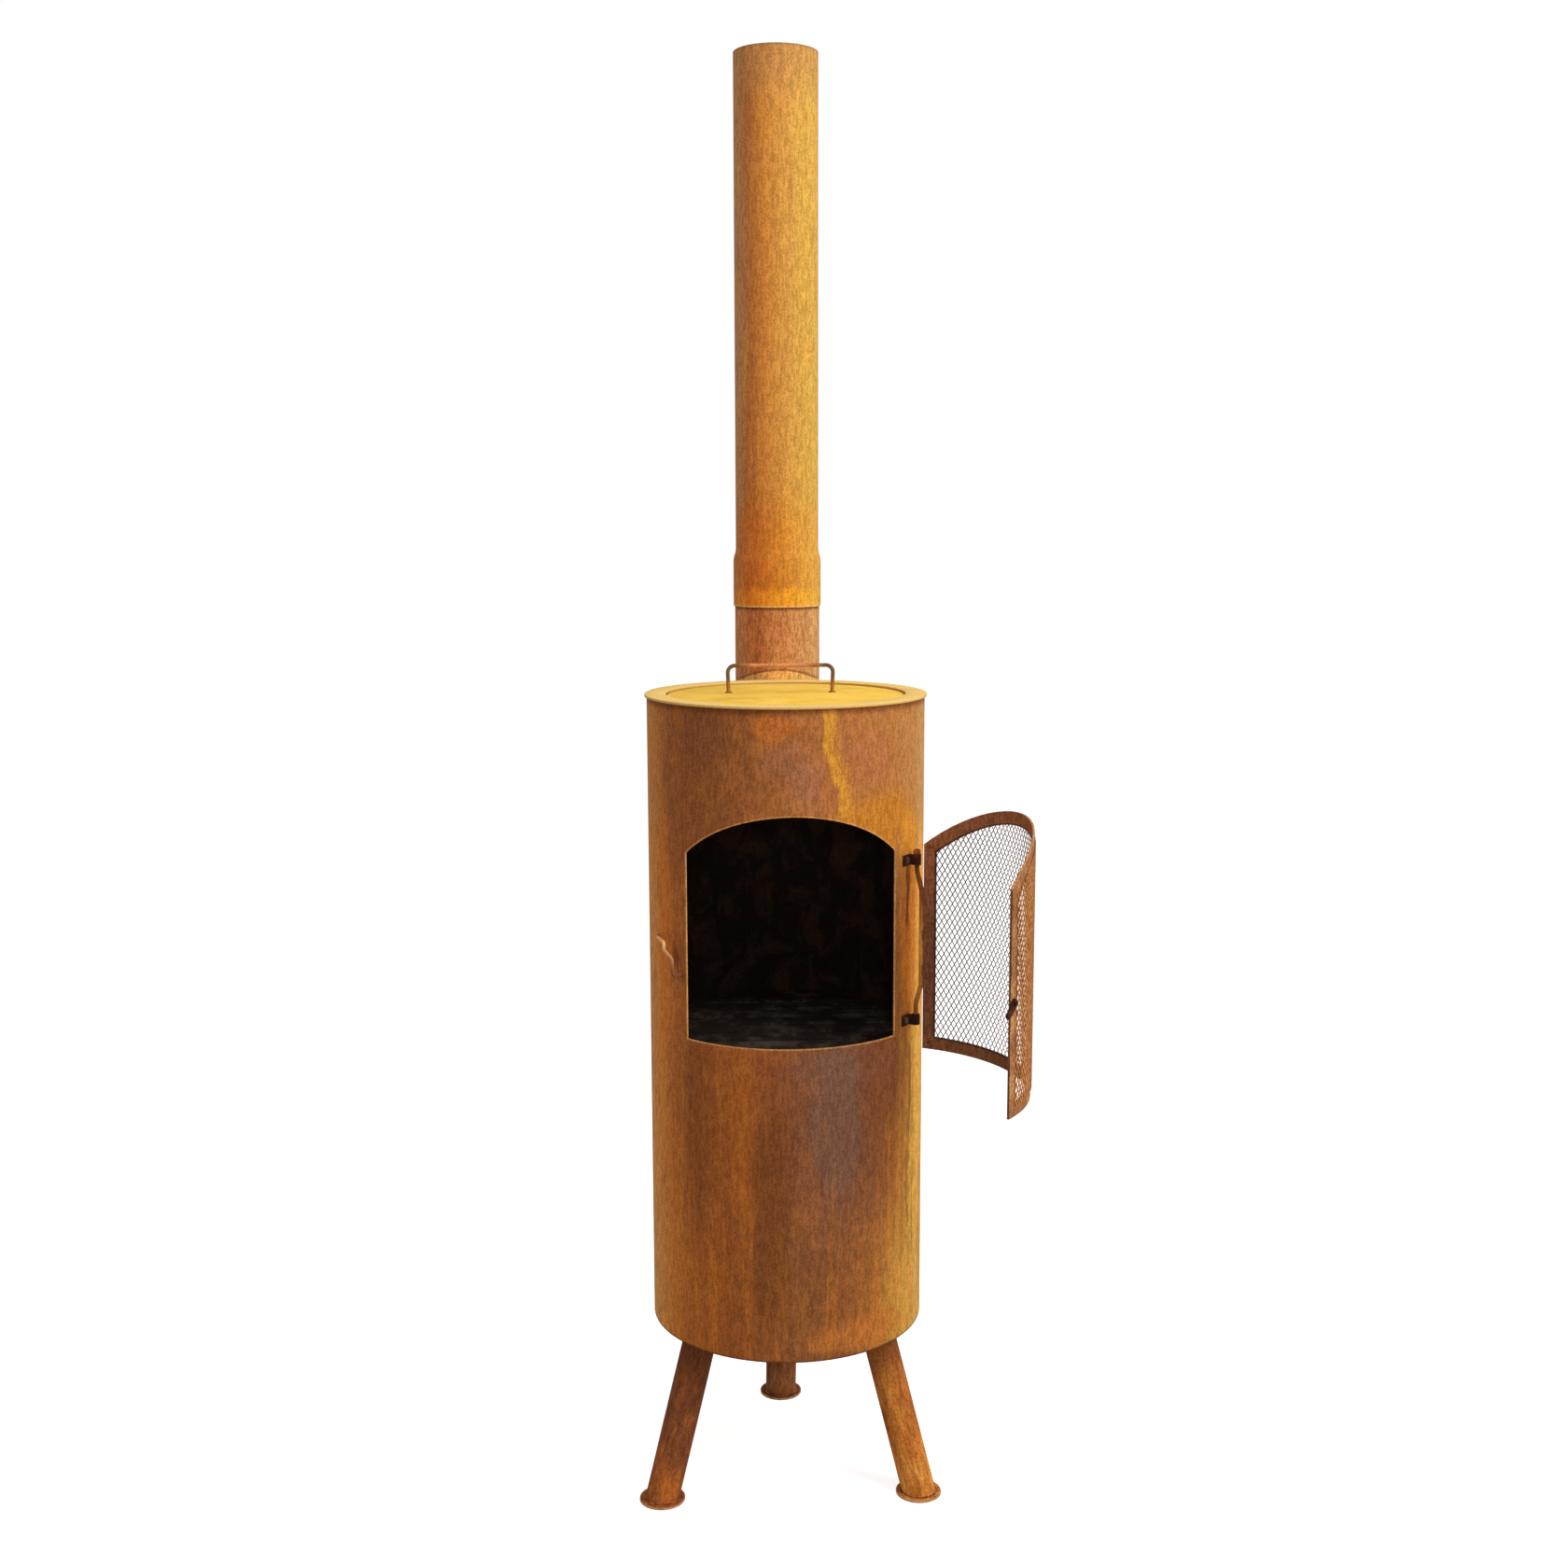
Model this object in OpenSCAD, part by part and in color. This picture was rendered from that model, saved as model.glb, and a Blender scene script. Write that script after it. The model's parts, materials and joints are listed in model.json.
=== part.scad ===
// Steel chiminea: a drum-shaped firebox on three splayed tube legs, with an arched mouth,
// a hinged mesh door, a lift-off lid and a flue that rises behind the drum.
// The front is -Y, +X is the right-hand side seen from the front, and Z = 0 is the ground.
// Angles round the drum are counted from the front, positive towards +X.

/* [Firebox] */
// Outside diameter of the drum
drum_d = 350; // [300:1:420]
// Thickness of the drum's sheet
drum_wall = 2; // [1.5:0.1:4]
// Height of the drum's lower edge above the ground
drum_bottom = 219; // [150:1:300]
// Length of the drum's sheet
drum_h = 809; // [760:1:950]
// Thickness of the plate that closes the bottom
bottom_plate_t = 3; // [2:0.5:6]

/* [Mouth] */
// Half of the mouth's width, as an angle round the drum
mouth_half_angle = 46.7; // [35:0.1:48]
// Height of the mouth's lower edge above the drum's lower edge
mouth_sill = 398.5; // [390:0.5:430]
// Height of the mouth's straight sides
mouth_side = 231.5; // [190:0.5:240]
// Rise of the mouth's arched top
mouth_rise = 51; // [20:0.5:60]

/* [Fire plate] */
// Depth of the fire plate's top below the mouth's lower edge
fire_plate_drop = 17; // [8:1:40]
// Thickness of the fire plate
fire_plate_t = 4; // [3:0.5:6]
// Width of an air slot in the fire plate
slot_w = 12; // [8:1:18]
// Distance between the air slots' centre lines
slot_pitch = 36; // [28:1:60]
// Free plate left outside the ends of the slots
slot_margin = 28; // [15:1:50]
// Length of a lug into the drum
lug_l = 20; // [12:1:40]
// Thickness of a lug
lug_t = 5; // [3:0.5:8]
// Half of a lug's width, as an angle round the drum
lug_half_angle = 5; // [3:0.5:10]

/* [Legs] */
// Outside diameter of a leg tube
leg_d = 43; // [30:0.5:55]
// Wall of a leg tube
leg_wall = 2; // [1.5:0.1:4]
// Distance of a leg's centre from the drum's outside, under the drum
leg_inset = 46.5; // [40:0.5:70]
// How much farther out a leg's centre is on its foot than under the drum
leg_splay = 62.5; // [30:0.5:110]
// Diameter of a foot disc
foot_d = 58.4; // [56:0.1:80]
// Thickness of a foot disc
foot_t = 3; // [2:0.5:6]

/* [Top] */
// Width of the top ring's overhang outside the drum
ring_overhang = 2.8; // [0:0.1:10]
// Width of the top ring, from its outer edge to its hole
ring_w = 26.6; // [18:0.1:40]
// Thickness of the top ring
ring_t = 3; // [2:0.5:6]
// Width that the ledge offers under the lid's edge
ledge_reach = 12; // [6:0.5:25]
// Thickness of the ledge
ledge_t = 3; // [2:0.5:6]
// Thickness of the lid
lid_t = 3; // [2:0.5:6]
// Gap round the lid's edge
lid_gap = 1.3; // [0.5:0.1:4]

/* [Lid handle] */
// Diameter of the handle's rod
handle_rod_d = 5; // [4:0.5:10]
// Distance between the handle's legs on the lid
handle_foot_span = 132; // [90:1:180]
// Distance between the handle's legs at the top
handle_top_span = 134; // [90:1:180]
// Height of the handle's top rod above the lid, to its centre line
handle_h = 34.6; // [25:0.1:60]
// Radius of the handle's bends, to the centre line
handle_bend_r = 8; // [6:0.5:12]
// How far left of the lid's middle the handle is welded
handle_shift = 5.3; // [0:0.1:15]
// How far behind the lid's middle the handle is welded
handle_back = 25; // [0:0.5:40]

/* [Flue] */
// Outside diameter of the upper pipe
pipe_d = 113; // [90:0.5:125]
// Wall of the upper pipe
pipe_wall = 1.5; // [1:0.1:3]
// Height of the upper pipe's top above the drum's top
pipe_top = 828; // [500:1:1000]
// Height of the socket's lower rim above the drum's top
socket_bottom = 100; // [60:1:140]
// Length of the socket's full-width part
socket_l = 62; // [40:1:90]
// Length of the shoulder that narrows the socket to the pipe
shoulder_h = 16; // [8:1:30]
// Outside diameter of the lower stub
stub_d = 116; // [100:0.5:130]
// Wall of the stub and of the outlet
stub_wall = 1.5; // [1:0.1:3]
// Running gap between the stub and the socket
socket_gap = 0.4; // [0.3:0.05:1.5]
// Gap between the drum and the stub behind it
stub_standoff = 3; // [1:0.5:30]
// Depth of the outlet's centre line below the drum's top
outlet_drop = 88; // [75:1:110]
// How far the outlet reaches into the drum
outlet_reach = 12; // [8:1:30]

/* [Door] */
// How far the door stands open, as in the photographed pose
door_open_angle = 99; // [60:1:140]
// Gap between the drum and the closed door's frame
door_standoff = 4.8; // [4.5:0.1:8]
// Angle round the drum of the frame's hinge-side edge, closed
door_hinge_angle = 54.9; // [54:0.1:56]
// Angle round the drum of the frame's free edge, closed
door_free_angle = 48.5; // [47:0.1:50]
// How far the frame reaches below the mouth
door_below = 21; // [8:0.5:30]
// How far the frame's corners stand above the mouth's corners
door_above_corner = 4; // [0:0.5:12]
// How far the frame's peak stands above the mouth's peak
door_above_peak = 11; // [4:0.5:20]
// Width of the frame's strip
frame_w = 16; // [12:0.5:25]
// Thickness of the frame's strip
frame_t = 2.5; // [2:0.1:4]
// Width of mesh that lies on the frame's strip
mesh_overlap = 5; // [3:0.5:5.5]
// Thickness of the mesh sheet
mesh_t = 1.6; // [1:0.1:3]
// Distance between the mesh's diamonds, sideways
diamond_w = 24; // [18:1:40]
// Distance between the mesh's diamonds, up and down
diamond_h = 37; // [28:1:60]
// Width of a strand of the mesh
strand_w = 3.4; // [2:0.1:6]

/* [Hinge] */
// Diameter of the hinge rod
hinge_rod_d = 6; // [5:0.5:8]
// Distance of the hinge's axis from the drum's outside
hinge_out = 9.5; // [9:0.1:13]
// Angle between the frame's edge and the hinge's axis
hinge_lead_angle = 3.2; // [3:0.1:4.5]
// Height of the lower strap's middle above the frame's lower edge
strap_low = 35; // [20:1:45]
// Distance between the two straps' middles
strap_apart = 202; // [190:1:205]
// Height of a strap
strap_h = 13; // [8:0.5:20]
// Thickness of a strap
strap_t = 2; // [1.5:0.1:2.5]
// Angle round the drum that a strap's foot covers
strap_foot_angle = 5.4; // [5:0.1:6]
// Distance over which the rod cranks from the frame's edge to the hinge's axis
crank_h = 24; // [20:1:28]
// Straight rod left between a strap and the crank
crank_gap = 14; // [4:1:25]
// How far the rod stands out from the middle of the frame's edge that it is welded to
rod_proud = 0.6; // [0:0.1:1]
// Height of the cap on the rod's upper end
cap_h = 6; // [3:0.5:10]
// Diameter of the cap on the rod's upper end
cap_d = 9; // [8:0.5:10]
// Diameter of a hinge bolt
bolt_d = 5; // [4:0.5:5.5]
// Diameter of a hinge bolt's head
bolt_head_d = 8.4; // [7:0.1:9]
// Height of a hinge bolt's head
bolt_head_h = 2.2; // [1.5:0.1:2.3]
// Width of a hinge nut across its corners
nut_d = 9.2; // [8:0.1:10]
// Height of a hinge nut
nut_h = 4; // [3:0.5:6]

/* [Latch] */
// Height of the latch's rivet above the frame's lower edge
latch_z = 131; // [110:1:150]
// Distance of the rivet from the frame's free edge
latch_inset = 6; // [5:0.5:7]
// Distance from the rivet to the tip of the lever's nose
latch_reach = 22; // [18:0.5:23]
// Length of the nose at the lever's tip
latch_nose = 3; // [2:0.5:4]
// Distance from the lever's tip to the hook's lowest point
latch_hook = 10; // [8:0.5:11]
// Depth of the hook below the rivet's middle
latch_dip = 3.5; // [3:0.1:4]
// Height of the nose above the rivet's middle
latch_tip = 6; // [5:0.1:7]
// How far the lever's tip hangs below level, as in the photographed pose
latch_rest_angle = 50; // [0:1:60]
// Diameter of the lever's eye
latch_eye_d = 9.2; // [8:0.1:9.6]
// Thickness of the lever
latch_t = 2.5; // [2:0.1:3]
// Diameter of the rivet
rivet_d = 4; // [3:0.5:5]
// Diameter of the rivet's head
rivet_head_d = 7.6; // [7:0.1:8.5]
// Height of the rivet's head
rivet_head_h = 2; // [1:0.1:3]
// Diameter of the keeper's rod
keeper_rod_d = 4.5; // [3:0.5:5]
// Distance of the keeper's rod from the drum's outside, to its centre line
keeper_out = 14; // [13.8:0.1:18]
// Distance from the door's free edge to the keeper's straight rod
keeper_gap = 5.5; // [5:0.5:7]
// Length of the keeper's straight rod
keeper_l = 21; // [16:1:25]
// How far the straight rod leans towards the door at its foot
keeper_lean = 2; // [1:0.5:3]
// Depth of the keeper's bend below the latch's rivet
keeper_drop = 10; // [8:0.5:12]
// Rise of the keeper's slanting rod
keeper_rise = 9; // [6:1:10]
// How far the slanting rod runs sideways
keeper_side = 16; // [16:0.5:18]
// Length of the keeper's upper straight rod
keeper_upper_l = 9; // [8:1:14]
// Distance round the drum from the upper straight rod to the end of the keeper's tail
keeper_tail = 41; // [36:1:46]
// Fall of the tail to its end
keeper_tail_drop = 3; // [0:0.5:6]

/* [Hidden] */
$fn = 96;

// Gap left where one piece is seated on another
seat = 0.2;
// Radial gap of a pin that turns in its hole
run_gap = 0.05;
// Overlength of a cutting tool past the face it cuts
past = 1;
// How much wider than its rod the ball in a bend is
ball_over = 0.5;

drum_r = drum_d / 2;
drum_ir = drum_r - drum_wall;
drum_top = drum_bottom + drum_h;
inside_r = drum_ir - seat;

mouth_z = drum_bottom + mouth_sill;
mouth_corner_z = mouth_z + mouth_side;
mouth_peak_z = mouth_corner_z + mouth_rise;

fire_plate_z = mouth_z - fire_plate_drop - fire_plate_t;
lug_angles = [60, 180, 300];

leg_angles = [-60, 60, 180];
leg_r = leg_d / 2;
leg_top_r = drum_r - leg_inset;
leg_foot_r = leg_top_r + leg_splay;
foot_r = foot_d / 2;

ring_r = drum_r + ring_overhang;
ring_hole_r = ring_r - ring_w;
lid_r = ring_hole_r - lid_gap;
lid_z = drum_top - ledge_t + seat;
lid_top = lid_z + lid_t;
ledge_z = drum_top - 2 * ledge_t;

pipe_r = pipe_d / 2;
pipe_ir = pipe_r - pipe_wall;
stub_r = stub_d / 2;
socket_ir = stub_r + socket_gap;
socket_r = socket_ir + pipe_wall;
socket_z = drum_top + socket_bottom;
shoulder_z = socket_z + socket_l;
pipe_z = shoulder_z + shoulder_h;
pipe_top_z = drum_top + pipe_top;
// the stub's rim comes to rest where the shoulder has narrowed to it
stub_top_z = shoulder_z + shoulder_h * socket_gap / (socket_ir - pipe_ir) - seat;
flue_y = drum_r + stub_standoff + stub_r;
outlet_z = drum_top - outlet_drop;

frame_ir = drum_r + door_standoff;
frame_r = frame_ir + frame_t;
frame_mid_r = (frame_ir + frame_r) / 2;
mesh_ir = frame_r + seat / 2;
mesh_r = mesh_ir + mesh_t;
mesh_mid_r = (mesh_ir + mesh_r) / 2;
door_mid_angle = (door_hinge_angle - door_free_angle) / 2;
door_half_angle = (door_hinge_angle + door_free_angle) / 2;
door_z = mouth_z - door_below;
door_corner_z = mouth_corner_z + door_above_corner;
door_peak_z = mouth_peak_z + door_above_peak;
mesh_inset = frame_w - mesh_overlap;

hinge_a = door_hinge_angle + hinge_lead_angle;
hinge_r = drum_r + hinge_out;
hinge_x = hinge_r * sin(hinge_a);
hinge_y = -hinge_r * cos(hinge_a);
rod_r = hinge_rod_d / 2;
rod_edge_a = door_hinge_angle + arc_angle(rod_r + seat / 2, frame_mid_r);
rod_edge_r = frame_mid_r + rod_proud;
loop_ir = rod_r + run_gap;
loop_r = loop_ir + strap_t;
strap_low_z = door_z + strap_low;
strap_high_z = strap_low_z + strap_apart;
strap_ir = drum_r + seat / 2;
strap_r = strap_ir + strap_t;
strap_end_a = hinge_a - arc_angle(rod_r + run_gap, hinge_r);
strap_start_a = strap_end_a - strap_foot_angle;
bolt_a = (strap_start_a + strap_end_a) / 2;
nut_face_r = drum_ir - seat;

latch_pivot_z = door_z + latch_z;
latch_a = -door_free_angle + arc_angle(latch_inset, frame_r);
latch_ir = frame_r + seat;
keeper_r = drum_r + keeper_out;
keeper_rod_r = keeper_rod_d / 2;
keeper_a = -door_free_angle - arc_angle(keeper_gap, keeper_r);
keeper_z = latch_pivot_z - keeper_drop;

// Angle in degrees of a length round a circle
function arc_angle(length, radius) = length / radius * 180 / PI;

// Place on the drum: angle from the front, distance from the axis, height
function round_at(a, r, z) = [r * sin(a), -r * cos(a), z];

// Height of an arch over its middle: s along the sheet, w half its width
function arch_r(w, rise) = (w * w + rise * rise) / (2 * rise);
function arch_z(s, peak, r) = peak - r + sqrt(r * r - s * s);

module round_place(a, r, z) {
  rotate([0, 0, a])
    translate([0, -r, z])
      children();
}

// Tool that points outwards along the drum's radius, from distance r
module outwards(a, r, z) {
  round_place(a, r, z)
    rotate([90, 0, 0])
      children();
}

// Part of a ring between two radii, two heights and two angles
module sector(r1, r2, z1, z2, a1, a2) {
  rotate([0, 0, a1 - 90])
    rotate_extrude(angle = a2 - a1)
      translate([r1, z1])
        square([r2 - r1, z2 - z1]);
}

module ring(r1, r2, z1, z2) {
  translate([0, 0, z1])
    difference() {
      cylinder(r = r2, h = z2 - z1);
      translate([0, 0, -past])
        cylinder(r = r1, h = z2 - z1 + 2 * past);
    }
}

// Piece of rolled sheet with a straight bottom, straight sides and an arched top.
// The outline is drawn on the flat sheet and laid round the radius r; inset
// draws it smaller by a strip all round.
module arched_sheet(r1, r2, mid, half, bottom, corner, peak, inset) {
  r = (r1 + r2) / 2;
  w = half * PI / 180 * r;
  big_r = arch_r(w, peak - corner);
  small_half = half - arc_angle(inset, r);
  steps = 24;
  wide = small_half + 1;
  rotate([0, 0, mid])
    intersection() {
      sector(r1, r2, bottom + inset, peak, -small_half, small_half);
      rotate([90, 0, 0])
        linear_extrude(r2 + past)
          polygon(concat(
            [[r * sin(wide), bottom - past], [-r * sin(wide), bottom - past]],
            [for (i = [0 : steps])
              let (a = -wide + 2 * wide * i / steps)
              [r * sin(a), arch_z(a * PI / 180 * r, peak - inset, big_r - inset)]]));
    }
}

// Round rod through a list of points, with a ball in each bend
module bent_rod(points, d) {
  for (i = [0 : len(points) - 2])
    rod_between(points[i], points[i + 1], d);
  for (i = [1 : len(points) - 2])
    translate(points[i])
      sphere(d = d + ball_over);
}

module rod_between(p, q, d) {
  v = q - p;
  translate(p)
    rotate([0, acos(v[2] / norm(v)), atan2(v[1], v[0])])
      cylinder(d = d, h = norm(v));
}

// Turns the closed door about its hinge into the pose it is drawn in
module hung() {
  translate([hinge_x, hinge_y, 0])
    rotate([0, 0, door_open_angle])
      translate([-hinge_x, -hinge_y, 0])
        children();
}

// ---- firebox ----

module firebox_shell() {
  color("peru")
    difference() {
      ring(drum_ir, drum_r, drum_bottom, drum_top);
      arched_sheet(drum_ir - past, drum_r + past, 0, mouth_half_angle, mouth_z,
        mouth_corner_z, mouth_peak_z, 0);
      translate([0, drum_r / 2, outlet_z])
        rotate([-90, 0, 0])
          cylinder(r = stub_r + seat, h = drum_r);
      for (z = [strap_low_z, strap_high_z])
        outwards(bolt_a, drum_ir - 2 * past, z)
          cylinder(r = bolt_d / 2 + run_gap, h = drum_wall + 4 * past);
    }
}

module bottom_plate() {
  color("saddlebrown")
    ring_or_disc(inside_r, drum_bottom, drum_bottom + bottom_plate_t);
}

module ring_or_disc(r, z1, z2) {
  translate([0, 0, z1])
    cylinder(r = r, h = z2 - z1);
}

module fire_plate() {
  chord_r = inside_r - slot_margin;
  slots = floor(chord_r / slot_pitch);
  color("dimgray")
    difference() {
      ring_or_disc(inside_r, fire_plate_z, fire_plate_z + fire_plate_t);
      for (i = [-slots : slots])
        let (half_l = sqrt(chord_r * chord_r - pow(i * slot_pitch, 2)))
          if (half_l > 2 * slot_w)
            translate([-half_l, i * slot_pitch - slot_w / 2, fire_plate_z - past])
              cube([2 * half_l, slot_w, fire_plate_t + 2 * past]);
    }
}

module plate_lugs() {
  top = fire_plate_z - seat;
  color("dimgray")
    for (a = lug_angles)
      sector(inside_r - lug_l, inside_r, top - lug_t, top, a - lug_half_angle, a + lug_half_angle);
}

// ---- legs ----

// Splayed tube, cut level under the drum and on its foot
module leg(a) {
  rise = drum_bottom - foot_t;
  slant = norm([leg_splay, rise]);
  tilt = atan2(leg_splay, rise);
  over = leg_d;
  color("peru")
    rotate([0, 0, a])
      difference() {
        translate([0, -leg_foot_r, foot_t])
          rotate([-tilt, 0, 0])
            translate([0, 0, -over])
              difference() {
                cylinder(r = leg_r, h = slant + 2 * over);
                translate([0, 0, -past])
                  cylinder(r = leg_r - leg_wall, h = slant + 2 * over + 2 * past);
              }
        translate([-leg_foot_r, -2 * leg_foot_r, foot_t - 2 * over])
          cube([2 * leg_foot_r, 2 * leg_foot_r, 2 * over]);
        translate([-leg_foot_r, -2 * leg_foot_r, drum_bottom])
          cube([2 * leg_foot_r, 2 * leg_foot_r, 2 * over]);
      }
}

module leg_left() {
  leg(leg_angles[0]);
}

module leg_right() {
  leg(leg_angles[1]);
}

module leg_rear() {
  leg(leg_angles[2]);
}

module foot(a) {
  color("goldenrod")
    round_place(a, leg_foot_r, 0)
      cylinder(r = foot_r, h = foot_t);
}

module foot_left() {
  foot(leg_angles[0]);
}

module foot_right() {
  foot(leg_angles[1]);
}

module foot_rear() {
  foot(leg_angles[2]);
}

// ---- top ----

module top_ring() {
  color("goldenrod")
    ring(ring_hole_r, ring_r, drum_top, drum_top + ring_t);
}

module lid_ledge() {
  color("saddlebrown")
    ring(ring_hole_r - ledge_reach, inside_r, ledge_z, ledge_z + ledge_t);
}

module lid() {
  color("goldenrod")
    ring_or_disc(lid_r, lid_z, lid_top);
}

module lid_handle() {
  foot_x = handle_foot_span / 2;
  top_x = handle_top_span / 2;
  bend = handle_bend_r;
  steps = 4;
  half_handle = [for (i = [0 : steps])
    let (a = 90 * i / steps)
    [top_x - bend + bend * cos(a), 0, handle_h - bend + bend * sin(a)]];
  other_half = [for (i = [steps : -1 : 0])
    [-half_handle[i][0], 0, half_handle[i][2]]];
  color("sienna")
    translate([-handle_shift, handle_back, lid_top])
      difference() {
        bent_rod(concat([[foot_x, 0, -past]], half_handle, other_half,
          [[-foot_x, 0, -past]]), handle_rod_d);
        translate([-handle_top_span, -handle_rod_d, -2 * handle_rod_d])
          cube([2 * handle_top_span, 2 * handle_rod_d, 2 * handle_rod_d]);
      }
}

// ---- flue ----

// The half of space on one side of the mitre between outlet and stub
module mitre_side(upper) {
  big = 3 * drum_d;
  translate([0, flue_y, outlet_z])
    rotate([-45, 0, 0])
      translate([-big / 2, -big / 2, upper ? 0 : -big])
        cube([big, big, big]);
}

module flue_outlet() {
  start_y = sqrt(drum_ir * drum_ir - stub_r * stub_r) - outlet_reach;
  color("sienna")
    intersection() {
      translate([0, start_y, outlet_z])
        rotate([-90, 0, 0])
          ring(stub_r - stub_wall, stub_r, 0, flue_y - start_y + 2 * stub_r);
      mitre_side(false);
    }
}

module flue_stub() {
  color("peru")
    intersection() {
      translate([0, flue_y, 0])
        ring(stub_r - stub_wall, stub_r, outlet_z - 2 * stub_r, stub_top_z);
      mitre_side(true);
    }
}

module flue_pipe() {
  color("peru")
    translate([0, flue_y, 0])
      rotate_extrude()
        polygon([
          [socket_r, socket_z],
          [socket_r, shoulder_z],
          [pipe_r, pipe_z],
          [pipe_r, pipe_top_z],
          [pipe_ir, pipe_top_z],
          [pipe_ir, pipe_z],
          [socket_ir, shoulder_z],
          [socket_ir, socket_z]
        ]);
}

// ---- hinge ----

// Strip with its foot on the drum and its end curled round the rod
module hinge_strap(z) {
  color("saddlebrown")
    difference() {
      translate([0, 0, z - strap_h / 2])
        linear_extrude(strap_h)
          difference() {
            union() {
              intersection() {
                difference() {
                  circle(r = strap_r, $fn = 180);
                  circle(r = strap_ir, $fn = 180);
                }
                polygon([
                  [0, 0],
                  [2 * drum_r * sin(strap_start_a), -2 * drum_r * cos(strap_start_a)],
                  [2 * drum_r * sin(strap_end_a), -2 * drum_r * cos(strap_end_a)]
                ]);
              }
              translate([hinge_x, hinge_y])
                circle(r = loop_r);
              rotate(strap_end_a)
                translate([-strap_t, -hinge_r])
                  square([strap_t, hinge_r - strap_ir - strap_t / 2]);
            }
            translate([hinge_x, hinge_y])
              circle(r = loop_ir);
          }
      outwards(bolt_a, strap_ir - past, z)
        cylinder(r = bolt_d / 2 + run_gap, h = strap_t + 2 * past);
    }
}

module hinge_strap_upper() {
  hinge_strap(strap_high_z);
}

module hinge_strap_lower() {
  hinge_strap(strap_low_z);
}

module hinge_bolts() {
  head_r = strap_r + seat / 2;
  shank_r = nut_face_r - nut_h - past;
  color("dimgray")
    for (z = [strap_low_z, strap_high_z])
      union() {
        outwards(bolt_a, head_r, z)
          cylinder(d1 = bolt_head_d, d2 = bolt_head_d - 2 * bolt_head_h / 2, h = bolt_head_h);
        outwards(bolt_a, shank_r, z)
          cylinder(d = bolt_d, h = head_r - shank_r + bolt_head_h / 2);
      }
}

module hinge_nuts() {
  color("dimgray")
    for (z = [strap_low_z, strap_high_z])
      outwards(bolt_a, nut_face_r - nut_h, z)
        difference() {
          cylinder(d = nut_d, h = nut_h, $fn = 6);
          translate([0, 0, -past])
            cylinder(r = bolt_d / 2 + run_gap, h = nut_h + 2 * past, $fn = 48);
        }
}

module hinge_rod() {
  low_end = strap_low_z - strap_h / 2;
  low_bend = strap_low_z + strap_h / 2 + crank_gap;
  high_bend = strap_high_z - strap_h / 2 - crank_gap / 2;
  high_end = strap_high_z + strap_h / 2 + seat + cap_h;
  color("sienna")
    hung()
      bent_rod([
        round_at(hinge_a, hinge_r, low_end),
        round_at(hinge_a, hinge_r, low_bend),
        round_at(rod_edge_a, rod_edge_r, low_bend + crank_h),
        round_at(rod_edge_a, rod_edge_r, high_bend - crank_h),
        round_at(hinge_a, hinge_r, high_bend),
        round_at(hinge_a, hinge_r, high_end)
      ], hinge_rod_d);
}

module rod_cap() {
  z = strap_high_z + strap_h / 2 + seat;
  color("dimgray")
    hung()
      round_place(hinge_a, hinge_r, 0)
        ring(rod_r + run_gap, cap_d / 2, z, z + cap_h);
}

// ---- door ----

module door_frame() {
  color("saddlebrown")
    hung()
      difference() {
        arched_sheet(frame_ir, frame_r, door_mid_angle, door_half_angle, door_z, door_corner_z,
          door_peak_z, 0);
        arched_sheet(frame_ir - past, frame_r + past, door_mid_angle, door_half_angle, door_z,
          door_corner_z, door_peak_z, frame_w);
        outwards(latch_a, frame_ir - past, latch_pivot_z)
          cylinder(r = rivet_d / 2 + run_gap, h = frame_t + 2 * past);
      }
}

// One hole of the mesh, smaller than its pitch by a strand all round
module diamond_hole() {
  side = norm([diamond_w, diamond_h]);
  half_w = (diamond_w - strand_w * side / diamond_h) / 2;
  half_h = (diamond_h - strand_w * side / diamond_w) / 2;
  outwards(0, mesh_ir - past, 0)
    linear_extrude(mesh_t + 2 * past)
      polygon([[-half_w, 0], [0, half_h], [half_w, 0], [0, -half_h]]);
}

module door_mesh() {
  step_a = arc_angle(diamond_w, mesh_mid_r);
  edge_a = door_half_angle - arc_angle(frame_w + diamond_w / 3, mesh_mid_r);
  w = door_half_angle * PI / 180 * mesh_mid_r;
  big_r = arch_r(w, door_peak_z - door_corner_z) - frame_w - diamond_h / 3;
  low = door_z + frame_w + diamond_h / 3;
  rows = floor(2 * (door_peak_z - low) / diamond_h);
  columns = ceil(door_half_angle / step_a);
  color("darkgoldenrod")
    hung()
      difference() {
        arched_sheet(mesh_ir, mesh_r, door_mid_angle, door_half_angle, door_z, door_corner_z,
          door_peak_z, mesh_inset);
        for (row = [0 : rows])
          for (column = [-columns : columns])
            let (
              a = (column + (row % 2) / 2) * step_a,
              z = low + row * diamond_h / 2,
              s = a * PI / 180 * mesh_mid_r,
              top = arch_z(s, door_peak_z - frame_w - diamond_h / 3, big_r)
            )
              if (abs(a) < edge_a && z < top)
                translate([0, 0, z])
                  rotate([0, 0, door_mid_angle + a])
                    diamond_hole();
      }
}

// ---- latch ----

module latch_lever() {
  eye = latch_eye_d / 2;
  color("dimgray")
    hung()
      outwards(latch_a, latch_ir, latch_pivot_z)
        rotate([0, 0, latch_rest_angle])
          difference() {
            linear_extrude(latch_t)
              union() {
                circle(r = eye);
                polygon([
                  [0, eye],
                  [latch_nose - latch_reach, latch_tip],
                  [-latch_reach, latch_tip / 2],
                  [latch_nose - latch_reach, -latch_dip / 3],
                  [latch_hook - latch_reach, -latch_dip],
                  [0, -eye]
                ]);
              }
            translate([0, 0, -past])
              cylinder(r = rivet_d / 2 + run_gap, h = latch_t + 2 * past);
          }
}

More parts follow.
